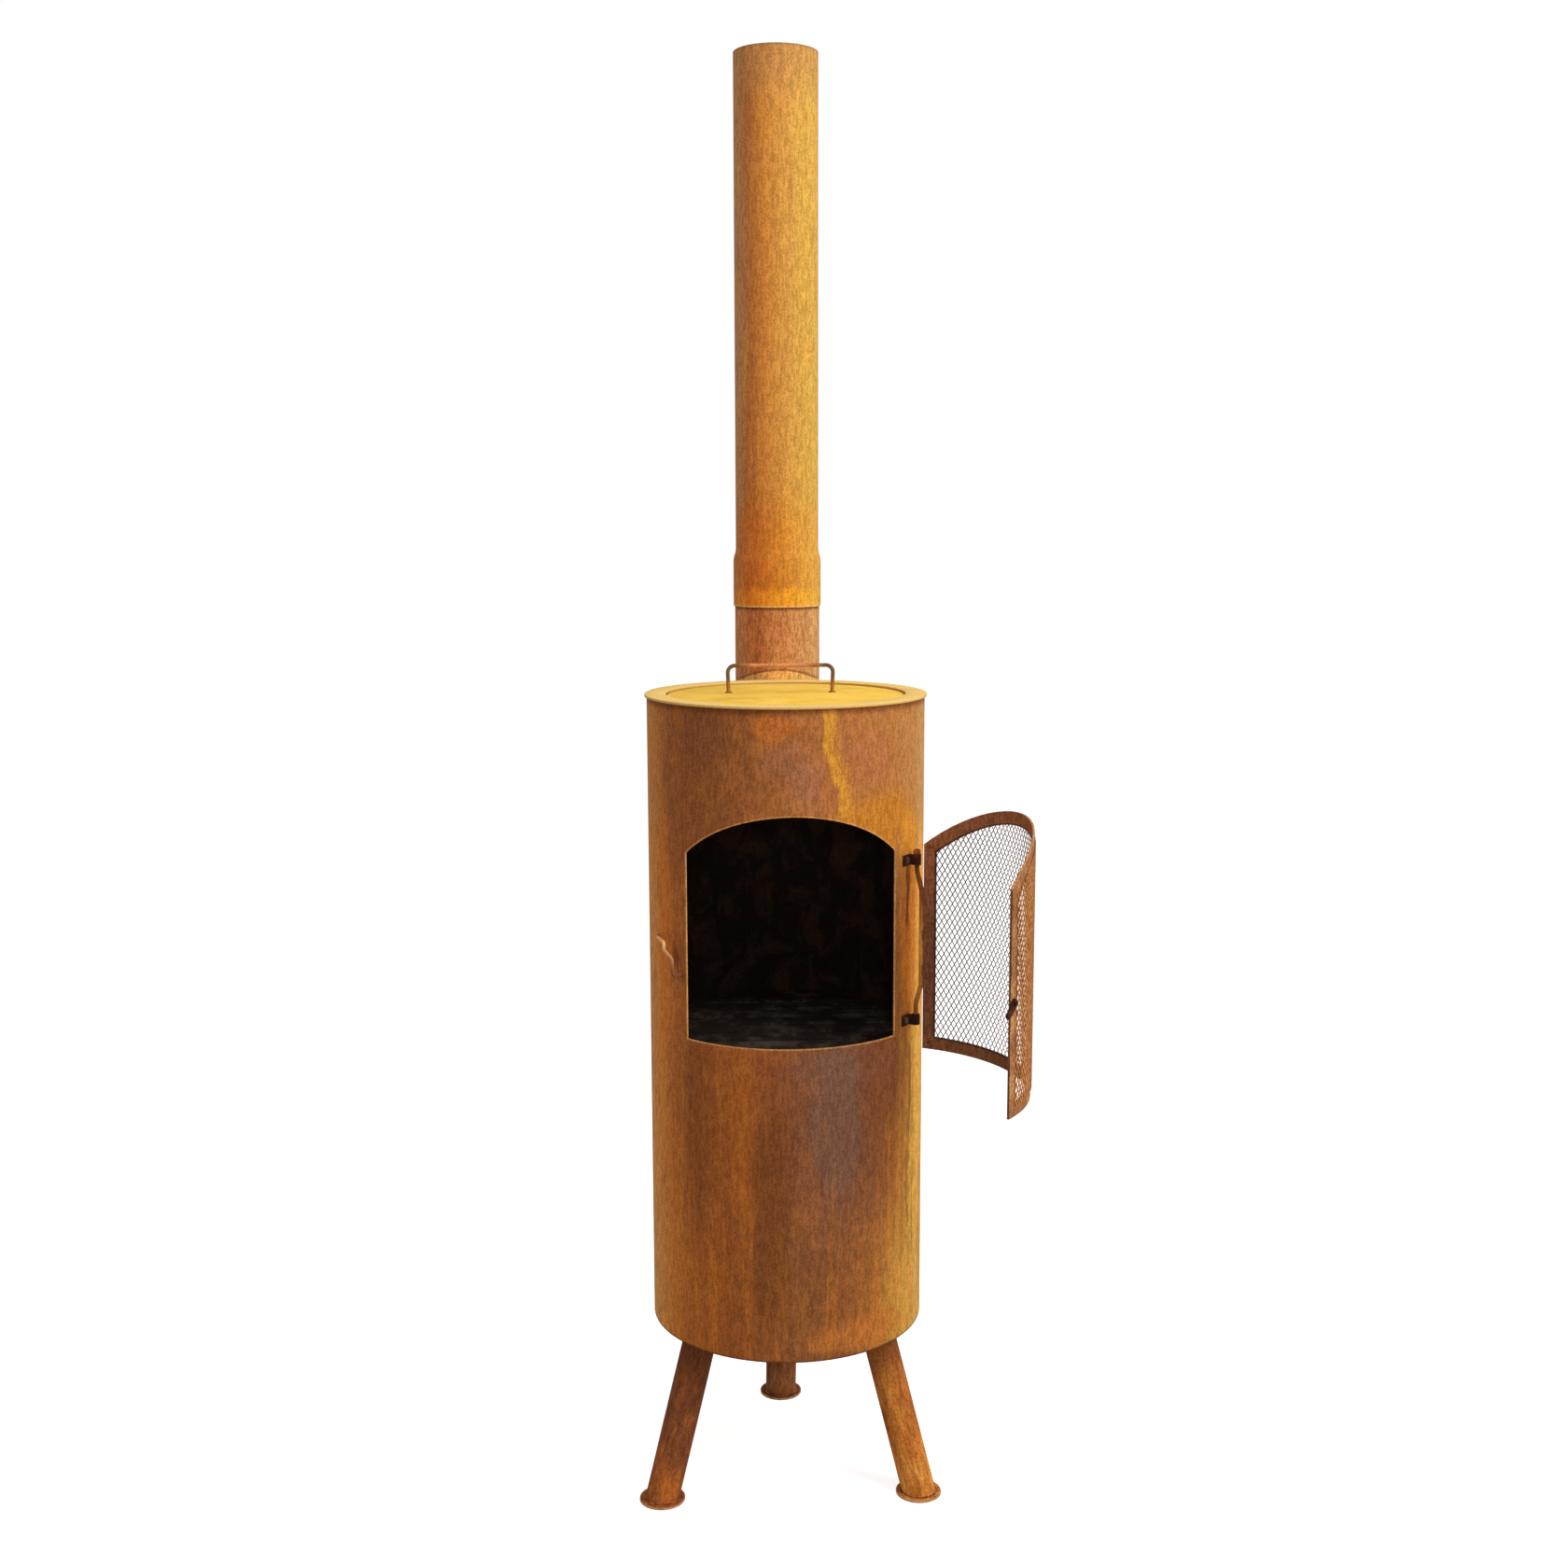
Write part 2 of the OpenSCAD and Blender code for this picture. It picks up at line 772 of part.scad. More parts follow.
module latch_rivet() {
  head_r = latch_ir + latch_t + seat;
  color("dimgray")
    hung()
      union() {
        outwards(latch_a, frame_ir, latch_pivot_z)
          cylinder(d = rivet_d, h = head_r - frame_ir + rivet_head_h / 2);
        outwards(latch_a, head_r, latch_pivot_z)
          cylinder(d1 = rivet_head_d, d2 = rivet_head_d - rivet_head_h, h = rivet_head_h);
      }
}

// Bent rod, welded to the drum at both ends
module latch_keeper() {
  foot_a = keeper_a + arc_angle(keeper_lean, keeper_r);
  upper_a = keeper_a - arc_angle(keeper_side, keeper_r);
  tail_a = upper_a - arc_angle(keeper_tail, drum_r);
  bend_z = keeper_z + keeper_rise;
  top_z = bend_z + keeper_upper_l;
  end_r = drum_r - keeper_rod_r / 2;
  color("sienna")
    difference() {
      bent_rod([
        round_at(foot_a, end_r, keeper_z - keeper_l),
        round_at(foot_a, keeper_r, keeper_z - keeper_l),
        round_at(keeper_a, keeper_r, keeper_z),
        round_at(upper_a, keeper_r, bend_z),
        round_at(upper_a, keeper_r, top_z),
        round_at(tail_a, end_r, top_z - keeper_tail_drop)
      ], keeper_rod_d);
      ring_or_disc(drum_r + seat, drum_bottom, drum_top);
    }
}

firebox_shell();
bottom_plate();
leg_left();
leg_right();
leg_rear();
foot_left();
foot_right();
foot_rear();
fire_plate();
plate_lugs();
top_ring();
lid_ledge();
lid();
lid_handle();
flue_outlet();
flue_stub();
flue_pipe();
hinge_strap_upper();
hinge_strap_lower();
hinge_bolts();
hinge_nuts();
hinge_rod();
rod_cap();
door_frame();
door_mesh();
latch_lever();
latch_rivet();
latch_keeper();
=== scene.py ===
"""Looks of a free-standing steel chiminea left to rust in the weather.

The front is -Y, +X is the right-hand side seen from the front, Z = 0 is the ground, in metres.
The file follows the making of the stove: legs, drum, grate, top, flue, hinge, door, latch.
"""

import json
import math

import bmesh
import bpy
from mathutils import Matrix, Vector
from mathutils.bvhtree import BVHTree


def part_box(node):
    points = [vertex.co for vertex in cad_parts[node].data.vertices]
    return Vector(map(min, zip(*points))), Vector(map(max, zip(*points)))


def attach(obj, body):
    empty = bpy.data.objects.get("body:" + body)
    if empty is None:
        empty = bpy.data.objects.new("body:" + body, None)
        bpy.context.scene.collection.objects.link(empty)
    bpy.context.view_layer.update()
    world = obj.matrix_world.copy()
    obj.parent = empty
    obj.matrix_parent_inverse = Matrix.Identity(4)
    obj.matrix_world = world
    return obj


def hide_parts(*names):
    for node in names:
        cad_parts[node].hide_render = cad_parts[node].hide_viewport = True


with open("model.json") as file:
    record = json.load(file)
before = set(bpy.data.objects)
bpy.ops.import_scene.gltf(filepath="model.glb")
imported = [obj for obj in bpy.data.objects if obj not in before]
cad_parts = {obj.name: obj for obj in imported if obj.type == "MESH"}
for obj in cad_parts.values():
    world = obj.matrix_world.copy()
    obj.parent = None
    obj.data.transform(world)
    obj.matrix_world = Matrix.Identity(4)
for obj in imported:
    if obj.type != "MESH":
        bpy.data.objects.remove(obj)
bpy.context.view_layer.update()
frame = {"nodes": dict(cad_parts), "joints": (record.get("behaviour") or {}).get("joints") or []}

# ----------------------------------------------------------
# The photographer's viewpoint. A camera on a stand some two metres in front of the stove, with
# a short portrait lens, tilted down a little; the stove is turned slightly to the picture's right.

lens = 42.511
sensor = 36.0
camera_distance = 2.3262
camera_height = 1.2585
stove_turn = math.radians(2.739)
camera_yaw = math.radians(-0.055)
camera_tilt = math.radians(8.4215)
camera_roll = math.radians(-0.141)

camera = bpy.data.objects.new("camera", bpy.data.cameras.new("camera"))
bpy.context.scene.collection.objects.link(camera)
camera.data.sensor_fit = "AUTO"
camera.data.sensor_width = sensor
camera.data.lens = lens
camera.data.clip_end = 60
camera.matrix_world = (
    Matrix.Translation((-camera_distance * math.sin(stove_turn),
                        -camera_distance * math.cos(stove_turn), camera_height))
    @ Matrix.Rotation(-stove_turn - camera_yaw, 4, "Z")
    @ Matrix.Rotation(math.pi / 2 - camera_tilt, 4, "X")
    @ Matrix.Rotation(camera_roll, 4, "Z"))
bpy.context.scene.camera = camera

# Where things show in the photograph, in a frame of 1568 x 1568
photo_side = 1568
left_edge_x = 638.8
right_edge_x = 1031.5
top_edge_y = 42.5
bottom_edge_y = 1509.9
seen = {
    "left_foot": (661.6, 1498.2),
    "right_foot": (918.9, 1489.0),
    "rear_foot": (780.5, 1388.2),
    "mouth_left_corner": (686.0, 852.3),
    "mouth_right_corner": (895.1, 850.6),
    "mouth_peak": (788.7, 817.6),
    "mouth_sill": (790.5, 1049.1),
    "ring_left": (644.5, 694.0),
    "ring_right": (927.5, 693.0),
    "socket_rim": (780.0, 607.5),
    "handle_left_bend": (728.0, 666.4),
    "handle_right_bend": (833.5, 666.4),
    "golden_run_top": (829.0, 728.0),
    "golden_run_low": (844.5, 804.5),
    "keeper_tail": (656.7, 937.7),
    "door_hinge_corner": (927.9, 843.0),
    "door_low_corner": (920.7, 1047.0),
    "door_free_tip": (1008.7, 1116.7),
}


# ----------------------------------------------------------
# Three legs of steel tube, splayed outwards, cut level at both ends. Each is welded to a round
# foot disc below and to the drum's bottom plate above. Rained on and rusted brown all over.


def shade(red, green, blue):
    """Colour as a paint chart gives it (0 to 255), made linear."""
    parts = []
    for value in (red, green, blue):
        value /= 255
        parts.append(value / 12.92 if value <= 0.04045 else ((value + 0.055) / 1.055) ** 2.4)
    return (*parts, 1.0)


def node(tree, kind, inputs=None, **settings):
    """One shader node; inputs are values, or levels and sockets to link."""
    made = tree.nodes.new(kind)
    for key, value in settings.items():
        setattr(made, key, value)
    for key, value in (inputs or {}).items():
        value = getattr(value, "socket", value)
        if isinstance(value, bpy.types.NodeSocket):
            tree.links.new(value, made.inputs[key])
        else:
            made.inputs[key].default_value = value
    return made


class Level:
    """Number that varies over a surface, or a plain one; arithmetic with it adds shader nodes."""

    def __init__(self, tree, socket):
        self.tree = tree
        self.socket = socket

    def worked(self, operation, first, second=0.0):
        """Result of one arithmetic step."""
        return Level(self.tree, node(self.tree, "ShaderNodeMath", {0: first, 1: second},
                                     operation=operation).outputs[0])

    def __add__(self, other):
        return self.worked("ADD", self, other)

    def __sub__(self, other):
        return self.worked("SUBTRACT", self, other)

    def __rsub__(self, other):
        return self.worked("SUBTRACT", other, self)

    def __mul__(self, other):
        return self.worked("MULTIPLY", self, other)

    def __abs__(self):
        return self.worked("ABSOLUTE", self)

    def root(self):
        """Square root."""
        return self.worked("SQRT", self)

    def larger(self, other):
        """The larger of the two at each place."""
        return self.worked("MAXIMUM", self, other)

    def fade(self, start, end, most=1.0):
        """0 before start and most past end, with a smooth step between."""
        return Level(self.tree, node(self.tree, "ShaderNodeMapRange", {
            "Value": self, "From Min": start, "From Max": end, "To Max": most},
            interpolation_type="SMOOTHSTEP").outputs[0])

    def blend(self, under, over, kind="MIX"):
        """Colour over laid on colour under as far as the level says."""
        under, over = (shade(*hue) if isinstance(hue, tuple) else hue for hue in (under, over))
        return node(self.tree, "ShaderNodeMix", {0: self, 6: under, 7: over},
                    data_type="RGBA", blend_type=kind).outputs[2]

    def tones(self, *stops):
        """Colour ramp through the stops, each a place, red, green and blue, in order."""
        ramp = node(self.tree, "ShaderNodeValToRGB", {0: self})
        spots = ramp.color_ramp.elements
        for stop in stops[2:]:
            spots.new(stop[0])
        for spot, (place, *hue) in zip(spots, stops):
            spot.position = place
            spot.color = shade(*hue)
        return ramp.outputs[0]


class Rust:
    """Steel rusted in the open: runs down it, with mottles, sandy grain, short dashes and pits."""

    def __init__(self, name, middle=(0, 0, 0), turn=(0, 0, 0)):
        self.material = bpy.data.materials.new(name)
        self.material.use_nodes = True
        self.tree = self.material.node_tree
        self.shader = self.tree.nodes["Principled BSDF"]
        place = node(self.tree, "ShaderNodeTexCoord").outputs["Object"]
        back = Matrix.Rotation(-turn[2], 3, "Z") @ Vector(middle)
        self.place = node(self.tree, "ShaderNodeMapping", {
            "Vector": place, "Location": -back, "Rotation": (0, 0, -turn[2])}).outputs[0]
        if turn[0]:
            self.place = node(self.tree, "ShaderNodeMapping", {
                "Vector": self.place, "Rotation": (-turn[0], 0, 0)}).outputs[0]
        self.x, self.y, self.z = (Level(self.tree, socket) for socket in node(
            self.tree, "ShaderNodeSeparateXYZ", {0: self.place}).outputs)

    def cloud(self, side, down, detail=4.0, rough=0.6, warp=0.0):
        """Soft noise with side and down clumps to the metre."""
        spread = node(self.tree, "ShaderNodeVectorMath", {0: self.place, 1: (side, side, down)},
                      operation="MULTIPLY").outputs[0]
        return Level(self.tree, node(self.tree, "ShaderNodeTexNoise", {
            "Vector": spread, "Scale": 1.0, "Detail": detail, "Roughness": rough,
            "Distortion": warp}).outputs[0])

    def out_from_axis(self):
        """Distance from the piece's own upright axis."""
        return (self.x * self.x + self.y * self.y).root()

    def degrees(self):
        """Degrees round the upright axis, from the front, growing to the picture's right."""
        return self.x.worked("ARCTAN2", self.x, self.y * -1.0) * (180 / math.pi)

    def weathered(self, colour, grain=0.5, pits=0.3, rough=0.88, bump=0.0004, sheen=0.12):
        """Lays the grain and the pits on the colour and joins the whole to the shader."""
        sand = self.cloud(430, 380, 1.0, 0.6)
        dash = self.cloud(330, 70, 2.0, 0.6)
        mottle = self.cloud(150, 90, 3.0, 0.6, 0.4)
        mixed = sand * 0.42 + (dash * 0.38 + mottle * 0.2)
        speckle = mixed.fade(0.40, 0.60)
        light = [speckle * (grain * share) + (base - grain * share * 0.52)
                 for share, base in ((0.9, 1.0), (1.0, 1.0), (1.1, 0.93))]
        hue = Level(self.tree, 1.0).blend(colour, node(
            self.tree, "ShaderNodeCombineColor", dict(enumerate(light))).outputs[0], "MULTIPLY")
        hue = sand.fade(0.62, 0.72, pits).blend(hue, (66, 32, 14))
        bumps = node(self.tree, "ShaderNodeBump", {
            "Height": mixed, "Distance": bump, "Strength": 0.8}).outputs[0]
        for name, value in (("Base Color", hue), ("Normal", bumps),
                            ("Roughness", (dash * 0.16 + (rough - 0.08)).socket)):
            self.tree.links.new(value, self.shader.inputs[name])
        self.shader.inputs["Specular IOR Level"].default_value = sheen
        return self.material


def dress(name, material):
    """Gives a CAD node its finish."""
    piece = frame["nodes"][name]
    piece.data.materials.clear()
    piece.data.materials.append(material)


def finished(bm, name, body, material, standing_for=(), smooth=35):
    """Makes the bmesh a piece of the stove that rides on its body."""
    mesh = bpy.data.meshes.new(name)
    bm.to_mesh(mesh)
    bm.free()
    mesh.polygons.foreach_set("use_smooth", [True] * len(mesh.polygons))
    mesh.set_sharp_from_angle(angle=math.radians(smooth))
    mesh.materials.append(material)
    piece = bpy.data.objects.new(name, mesh)
    bpy.context.scene.collection.objects.link(piece)
    if standing_for:
        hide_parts(*standing_for)
    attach(piece, body)


def turned(bm, half_section, place, edge, steps):
    """Adds a shape turned on a lathe; half_section holds its (radius, height) corners in order."""
    lathe = bmesh.new()
    corners = [lathe.verts.new((radius, 0, height)) for radius, height in half_section]
    pairs = list(zip(corners, corners[1:]))
    if min(radius for radius, height in half_section) > 0:
        pairs.append((corners[-1], corners[0]))
    lines = [lathe.edges.new(pair) for pair in pairs]
    bmesh.ops.spin(lathe, geom=corners + lines, cent=(0, 0, 0), axis=(0, 0, 1),
                   angle=2 * math.pi, steps=steps, use_merge=True)
    bmesh.ops.remove_doubles(lathe, verts=lathe.verts, dist=1e-6)
    bmesh.ops.recalc_face_normals(lathe, faces=lathe.faces)
    if edge:
        sharp = [e for e in lathe.edges if e.calc_face_angle() > math.radians(50)]
        bmesh.ops.bevel(lathe, geom=sharp, offset=edge, offset_type="OFFSET", affect="EDGES",
                        segments=2, profile=0.5, material=-1)
    bmesh.ops.transform(lathe, matrix=place, verts=lathe.verts)
    shape = bpy.data.meshes.new("turned_shape")
    lathe.to_mesh(shape)
    lathe.free()
    bm.from_mesh(shape)
    bpy.data.meshes.remove(shape)


def turned_piece(name, half_section, body, material, standing_for, place=Matrix(),
                 edge=0.0005, steps=128):
    """A whole piece turned on the lathe."""
    bm = bmesh.new()
    turned(bm, half_section, place, edge, steps)
    finished(bm, name, body, material, standing_for)


weld_steel = Rust("weld_rust")
weld_rust = weld_steel.weathered(weld_steel.cloud(150, 150, 3.0).tones(
    (0.35, 92, 48, 26), (0.55, 146, 86, 44), (0.72, 190, 130, 72)), grain=0.4)


def welds(name, body, rows):
    """One piece of the ripples that a welder leaves; each row holds its places and their size."""
    bm = bmesh.new()
    for places, size in rows:
        drop = bmesh.new()
        bmesh.ops.create_uvsphere(drop, u_segments=8, v_segments=5, radius=size)
        ripple = bpy.data.meshes.new("ripple")
        drop.to_mesh(ripple)
        drop.free()
        at = Vector((0, 0, 0))
        for place in places:
            ripple.transform(Matrix.Translation(Vector(place) - at))
            bm.from_mesh(ripple)
            at = Vector(place)
        bpy.data.meshes.remove(ripple)
    finished(bm, name, body, weld_rust, smooth=60)


def turns(count):
    """Angles of that many even steps round a circle."""
    return [2 * math.pi * step / count for step in range(count)]


foot_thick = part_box("foot_left")[1].z
foot_round = 0.02919
leg_round = 0.0215
drum_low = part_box("firebox_shell")[0].z
foot_out = (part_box("foot_rear")[0].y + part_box("foot_rear")[1].y) / 2
leg_splay = 0.0625
leg_lean = math.atan2(leg_splay, drum_low - foot_thick)
heavy_bead, seam_bead, rod_bead, fine_bead = 0.0018, 0.0017, 0.0014, 0.0011
leg_angles = {"left": -60, "right": 60, "rear": 180}
# The same rust on every leg and foot, painted lighter on the right one and darker on the rear one:
# painted light and shade by side.
leg_browns_lit_by_side = {
    "left": [(0.32, 94, 50, 30), (0.46, 122, 68, 37), (0.58, 142, 78, 38), (0.72, 170, 94, 38)],
    "right": [(0.32, 126, 68, 32), (0.46, 172, 100, 42), (0.58, 190, 114, 46),
              (0.72, 214, 146, 70)],
    "rear": [(0.32, 72, 38, 22), (0.46, 104, 58, 32), (0.58, 124, 72, 40), (0.72, 150, 92, 52)]}
foot_browns_lit_by_side = {
    "left": [(0.34, 122, 60, 32), (0.5, 152, 80, 42), (0.68, 184, 112, 58)],
    "right": [(0.34, 150, 88, 42), (0.5, 188, 116, 56), (0.68, 214, 150, 84)],
    "rear": [(0.34, 84, 46, 28), (0.5, 116, 66, 38), (0.68, 150, 92, 54)]}
leg_rows = []
for side, angle in leg_angles.items():
    heading = math.radians(angle)
    foot = Vector((foot_out * math.sin(heading), -foot_out * math.cos(heading), foot_thick))
    tube = Rust(f"rusted_tube_{side}", foot, (-leg_lean, 0, heading))
    run = tube.cloud(75, 24, 6.0, 0.68, 0.3)
    hue = (tube.z.fade(0.085, 0.015, 0.14) + run).tones(*leg_browns_lit_by_side[side])
    dark_top = (run * 0.1 + tube.z).fade(0.19, 0.26, 0.8)
    dress(f"leg_{side}", tube.weathered(dark_top.blend(hue, (88, 46, 26)), 0.6))

    disc = Rust(f"foot_rust_{side}", foot, (0, 0, heading))
    hue = disc.cloud(80, 80, 5.0, 0.6).tones(*foot_browns_lit_by_side[side])
    # The disc's rim is lighter: partly a worn edge and partly a painted highlight.
    rim = disc.out_from_axis().fade(foot_round - 0.0014, foot_round - 0.0003, 0.75)
    turned_piece(f"foot_disc_{side}", [
        (0, 0), (foot_round, 0), (foot_round, foot_thick), (0, foot_thick)], "firebox",
        disc.weathered(rim.blend(hue, (190, 144, 106))), [f"foot_{side}"],
        Matrix.Translation((foot.x, foot.y, 0)), 0.0006, 64)

    # The joint of the leaning tube and a level plate is an ellipse, longer along the lean
    for level_z, out in ((foot_thick, foot_out), (drum_low, foot_out - leg_splay)):
        leg_rows.append(([Matrix.Rotation(heading, 3, "Z") @ Vector((
            leg_round * math.sin(turn), leg_round / math.cos(leg_lean) * math.cos(turn) - out,
            level_z)) for turn in turns(58)], heavy_bead))
welds("leg_welds", "firebox", leg_rows)


# ----------------------------------------------------------
# The firebox: one sheet of 2 mm steel rolled into a drum and butt-welded up the back, with the
# arched mouth cut out of its front, and a plate welded in at the bottom. The rain has drawn
# streaks of brown, orange and gold down its outside; inside it is black with soot.


def place_on_picture(place):
    """Where a place shows in the photograph's frame of 1568."""
    here = camera.matrix_world.inverted() @ Vector(place)
    spread = photo_side * lens / sensor / -here.z
    return Vector((photo_side / 2 - camera.data.shift_x * photo_side + here.x * spread,
                   photo_side / 2 + camera.data.shift_y * photo_side - here.y * spread))


def place_on_surface(point, surface):
    """Where the ray through a point of the photograph meets the surface, or comes nearest it."""
    x, y = point
    ray = camera.matrix_world.to_3x3() @ Vector((
        x - photo_side / 2 + camera.data.shift_x * photo_side,
        photo_side / 2 - y + camera.data.shift_y * photo_side,
        -photo_side * lens / sensor)).normalized()
    start = camera.matrix_world.translation
    met = surface.ray_cast(start, ray)[0]
    along = camera_distance
    while met is None:
        near = surface.find_nearest(start + ray * along)[0]
        further = (near - start).dot(ray)
        met = near if abs(further - along) < 1e-5 else None
        along = further
    return met


shell_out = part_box("firebox_shell")[1].x
sheet = 0.002
drum_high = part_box("firebox_shell")[1].z
mouth_half = 46.7
sill_z, mouth_corner_z, mouth_peak_z = 0.6175, 0.849, 0.900

bm = bmesh.new()
bm.from_mesh(frame["nodes"]["firebox_shell"].data)
drum_surface = BVHTree.FromBMesh(bm)
bm.free()

drum = Rust("rusted_sheet_drum")
sway = drum.cloud(20, 6, 6.0, 0.65, 0.5) - 0.5
streak = drum.cloud(70, 5, 5.0, 0.68, 0.1)
blotch = drum.cloud(30, 22, 6.0, 0.65, 0.6)
lean = sway * 16.0 + drum.degrees()
level = (blotch - 0.5) * 0.06 + drum.z


def painted_round(degrees, stops):
    """Colours laid round a tube by degrees from the front, closed up at the back."""
    return (degrees * (1 / 360) + 0.5).tones(*(
        (place / 360 + 0.5, *hue) for place, *hue in sorted(stops)))


def patch(degrees, height, wide, high, most):
    """Ragged oval patch on the drum, wide in degrees and high in metres, to either side."""
    across = (lean - degrees) * (1 / wide)
    up = (level - height) * (1 / high)
    return (across * across + up * up).fade(1.5, 0.35, most)


def past_outline(paint, middle, half_wide, out, low, peak, arch, inset=0.0):
    """How far the surface lies past an arched outline laid round it, in metres."""
    aside = (paint.degrees() - middle) * (math.pi / 180 * out)
    over = paint.z - (peak - arch)
    past_arch = (aside * aside + over * over).root() - (arch - inset)
    past_side = abs(aside) - (half_wide - inset)
    return past_arch.larger(past_side.larger(low + inset - paint.z))


upper_back = [(-180, 158, 94, 46), (-152, 176, 108, 52), (-120, 150, 90, 48), (95, 178, 120, 68),
              (124, 154, 92, 46), (153, 172, 106, 50), (180, 158, 94, 46)]
lower_back = [(-180, 150, 86, 40), (-148, 168, 98, 42), (-118, 140, 80, 40), (98, 172, 112, 52),
              (128, 144, 82, 40), (156, 166, 98, 44), (180, 150, 86, 40)]
# Colours by degrees round the drum: the lighter tones towards both outline edges and on the right
# are partly rust colour and partly painted light.
upper = painted_round(lean, upper_back + [
    (-84, 206, 140, 84), (-70, 196, 122, 62), (-57, 156, 90, 49), (-46, 148, 81, 42),
    (-34, 139, 80, 42), (-21, 148, 86, 45), (-8, 162, 96, 48), (4, 166, 101, 56),
    (15, 168, 102, 56), (30, 170, 108, 58), (46, 175, 114, 60), (60, 181, 123, 66),
    (72, 190, 140, 86)])
lower = painted_round(lean, lower_back + [
    (-84, 208, 146, 88), (-70, 212, 134, 64), (-57, 182, 105, 46), (-45, 141, 77, 38),
    (-33, 146, 78, 35), (-21, 151, 83, 35), (-8, 141, 77, 41), (4, 134, 80, 50),
    (15, 126, 78, 54), (26, 126, 77, 50), (36, 132, 77, 44), (46, 134, 78, 38),
    (55, 164, 104, 42), (62, 204, 150, 62), (70, 214, 160, 72), (78, 212, 158, 80)])
foot_tones = painted_round(lean, lower_back + [
    (-84, 206, 146, 86), (-70, 210, 138, 70), (-57, 190, 112, 46), (-45, 164, 91, 38),
    (-33, 156, 85, 34), (-21, 146, 80, 33), (-8, 137, 76, 38), (4, 131, 78, 43),
    (15, 130, 76, 40), (26, 138, 80, 39), (36, 156, 95, 41), (46, 178, 124, 52),
    (57, 194, 140, 58), (68, 206, 156, 74)])
skin = level.fade(0.46, 0.30).blend(lower, foot_tones)
skin = level.fade(0.70, 0.93).blend(skin, upper)

# Soft purple-brown, orange and dark mottles all over, drawn out downwards on the lower half
skin = blotch.fade(0.50, 0.68, 0.34).blend(skin, (184, 112, 48))
skin = blotch.fade(0.47, 0.32, 0.34).blend(skin, (112, 66, 46))
mostly_low = level.fade(0.66, 0.54) * 0.65 + 0.35
skin = (streak.fade(0.52, 0.68, 0.34) * mostly_low).blend(skin, (200, 120, 38))
skin = (streak.fade(0.47, 0.33, 0.34) * mostly_low).blend(skin, (98, 54, 32))

# The golden run starts under the ring and widens to the right on its way down to the mouth
run_top = place_on_surface(seen["golden_run_top"], drum_surface)
run_low = place_on_surface(seen["golden_run_low"], drum_surface)
top_degrees = math.degrees(math.atan2(run_top.x, -run_top.y))
low_degrees = math.degrees(math.atan2(run_low.x, -run_low.y))
run_middle = drum.z.fade(0.99, 0.92) * (low_degrees - top_degrees) + top_degrees
ragged = (drum.cloud(110, 26, 4.0, 0.7) - 0.5) * 7.0 + (drum.degrees() - run_middle)
run = ragged.fade(-3.0, -1.9) * (ragged.fade(5.5, 0.6) * drum.z.fade(0.875, 0.915, 0.8))
skin = patch(38, 0.888, 22, 0.036, 0.85).blend(skin, (192, 120, 36))
skin = run.blend(skin, (208, 143, 48))
# More patches of rust colour. The dark one at -53.5 degrees beside the keeper is mostly a painted
# shadow of the keeper rod, and the light golden ones at 70 and 72 degrees by the right outline are
# partly painted light.
for degrees, height, wide, high, most, hue in [
        (-6, 1.006, 9, 0.012, 0.75, (188, 104, 42)), (-4, 0.965, 10, 0.022, 0.5, (148, 94, 68)),
        (5, 0.940, 7, 0.026, 0.5, (154, 100, 74)), (-38, 0.99, 16, 0.03, 0.4, (124, 74, 46)),
        (33, 0.965, 10, 0.035, 0.45, (176, 104, 66)), (22, 0.588, 24, 0.026, 0.55, (130, 84, 66)),
        (18, 0.520, 10, 0.100, 0.55, (118, 86, 70)), (38, 0.575, 12, 0.06, 0.5, (122, 66, 40)),
        (-20, 0.50, 6, 0.12, 0.5, (166, 92, 34)), (-9, 0.40, 9, 0.15, 0.7, (116, 64, 30)),
        (28, 0.245, 24, 0.022, 0.7, (178, 104, 44)), (58, 0.745, 8, 0.13, 0.85, (206, 118, 36)),
        (57, 0.855, 7, 0.035, 0.8, (208, 136, 44)), (72, 0.74, 7, 0.14, 0.8, (232, 162, 74)),
        (55.2, 0.790, 2.0, 0.042, 0.9, (112, 60, 26)),
        (-53.5, 0.714, 2.6, 0.014, 0.6, (92, 46, 18)), (-62, 0.75, 5, 0.16, 0.5, (204, 112, 40)),
        (70, 0.58, 6, 0.14, 0.7, (214, 158, 66)), (58, 0.555, 1.8, 0.05, 0.6, (104, 62, 28)),
        (57.5, 0.44, 1.4, 0.09, 0.5, (110, 66, 30)), (63, 0.38, 1.2, 0.07, 0.5, (120, 74, 34))]:
    skin = patch(degrees, height, wide, high, most).blend(skin, hue)
skin = drum.z.fade(drum_low + 0.0028, drum_low + 0.0012, 0.75).blend(skin, (78, 42, 24))
# A painted shadow of the ring's overhang darkens the drum just under its top edge.
ring_overhang_shadow = (sway * 0.01 + drum.z).fade(drum_high - 0.011, drum_high - 0.002, 0.7)
skin = ring_overhang_shadow.blend(skin, (104, 52, 20))

# A lighter line along the mouth's outline on the outer skin is a painted highlight; the faces of
# the sheet's cut edge are lighter too
drum_mid = shell_out - sheet / 2
mouth_wide = math.radians(mouth_half) * drum_mid
mouth_rise = mouth_peak_z - mouth_corner_z
mouth_arch = (mouth_wide ** 2 + mouth_rise ** 2) / (2 * mouth_rise)
mouth_rim = past_outline(drum, 0, mouth_wide, drum_mid, sill_z, mouth_peak_z, mouth_arch)
skin = mouth_rim.fade(0.0019, 0.0009, 0.6).blend(skin, (214, 150, 84))
out = drum.out_from_axis()
skin = out.fade(shell_out - 0.0001, shell_out - 0.0004, 0.85).blend(skin, (214, 156, 100))
soot = blotch.fade(0.45, 0.62).blend((26, 17, 13), (54, 34, 24))
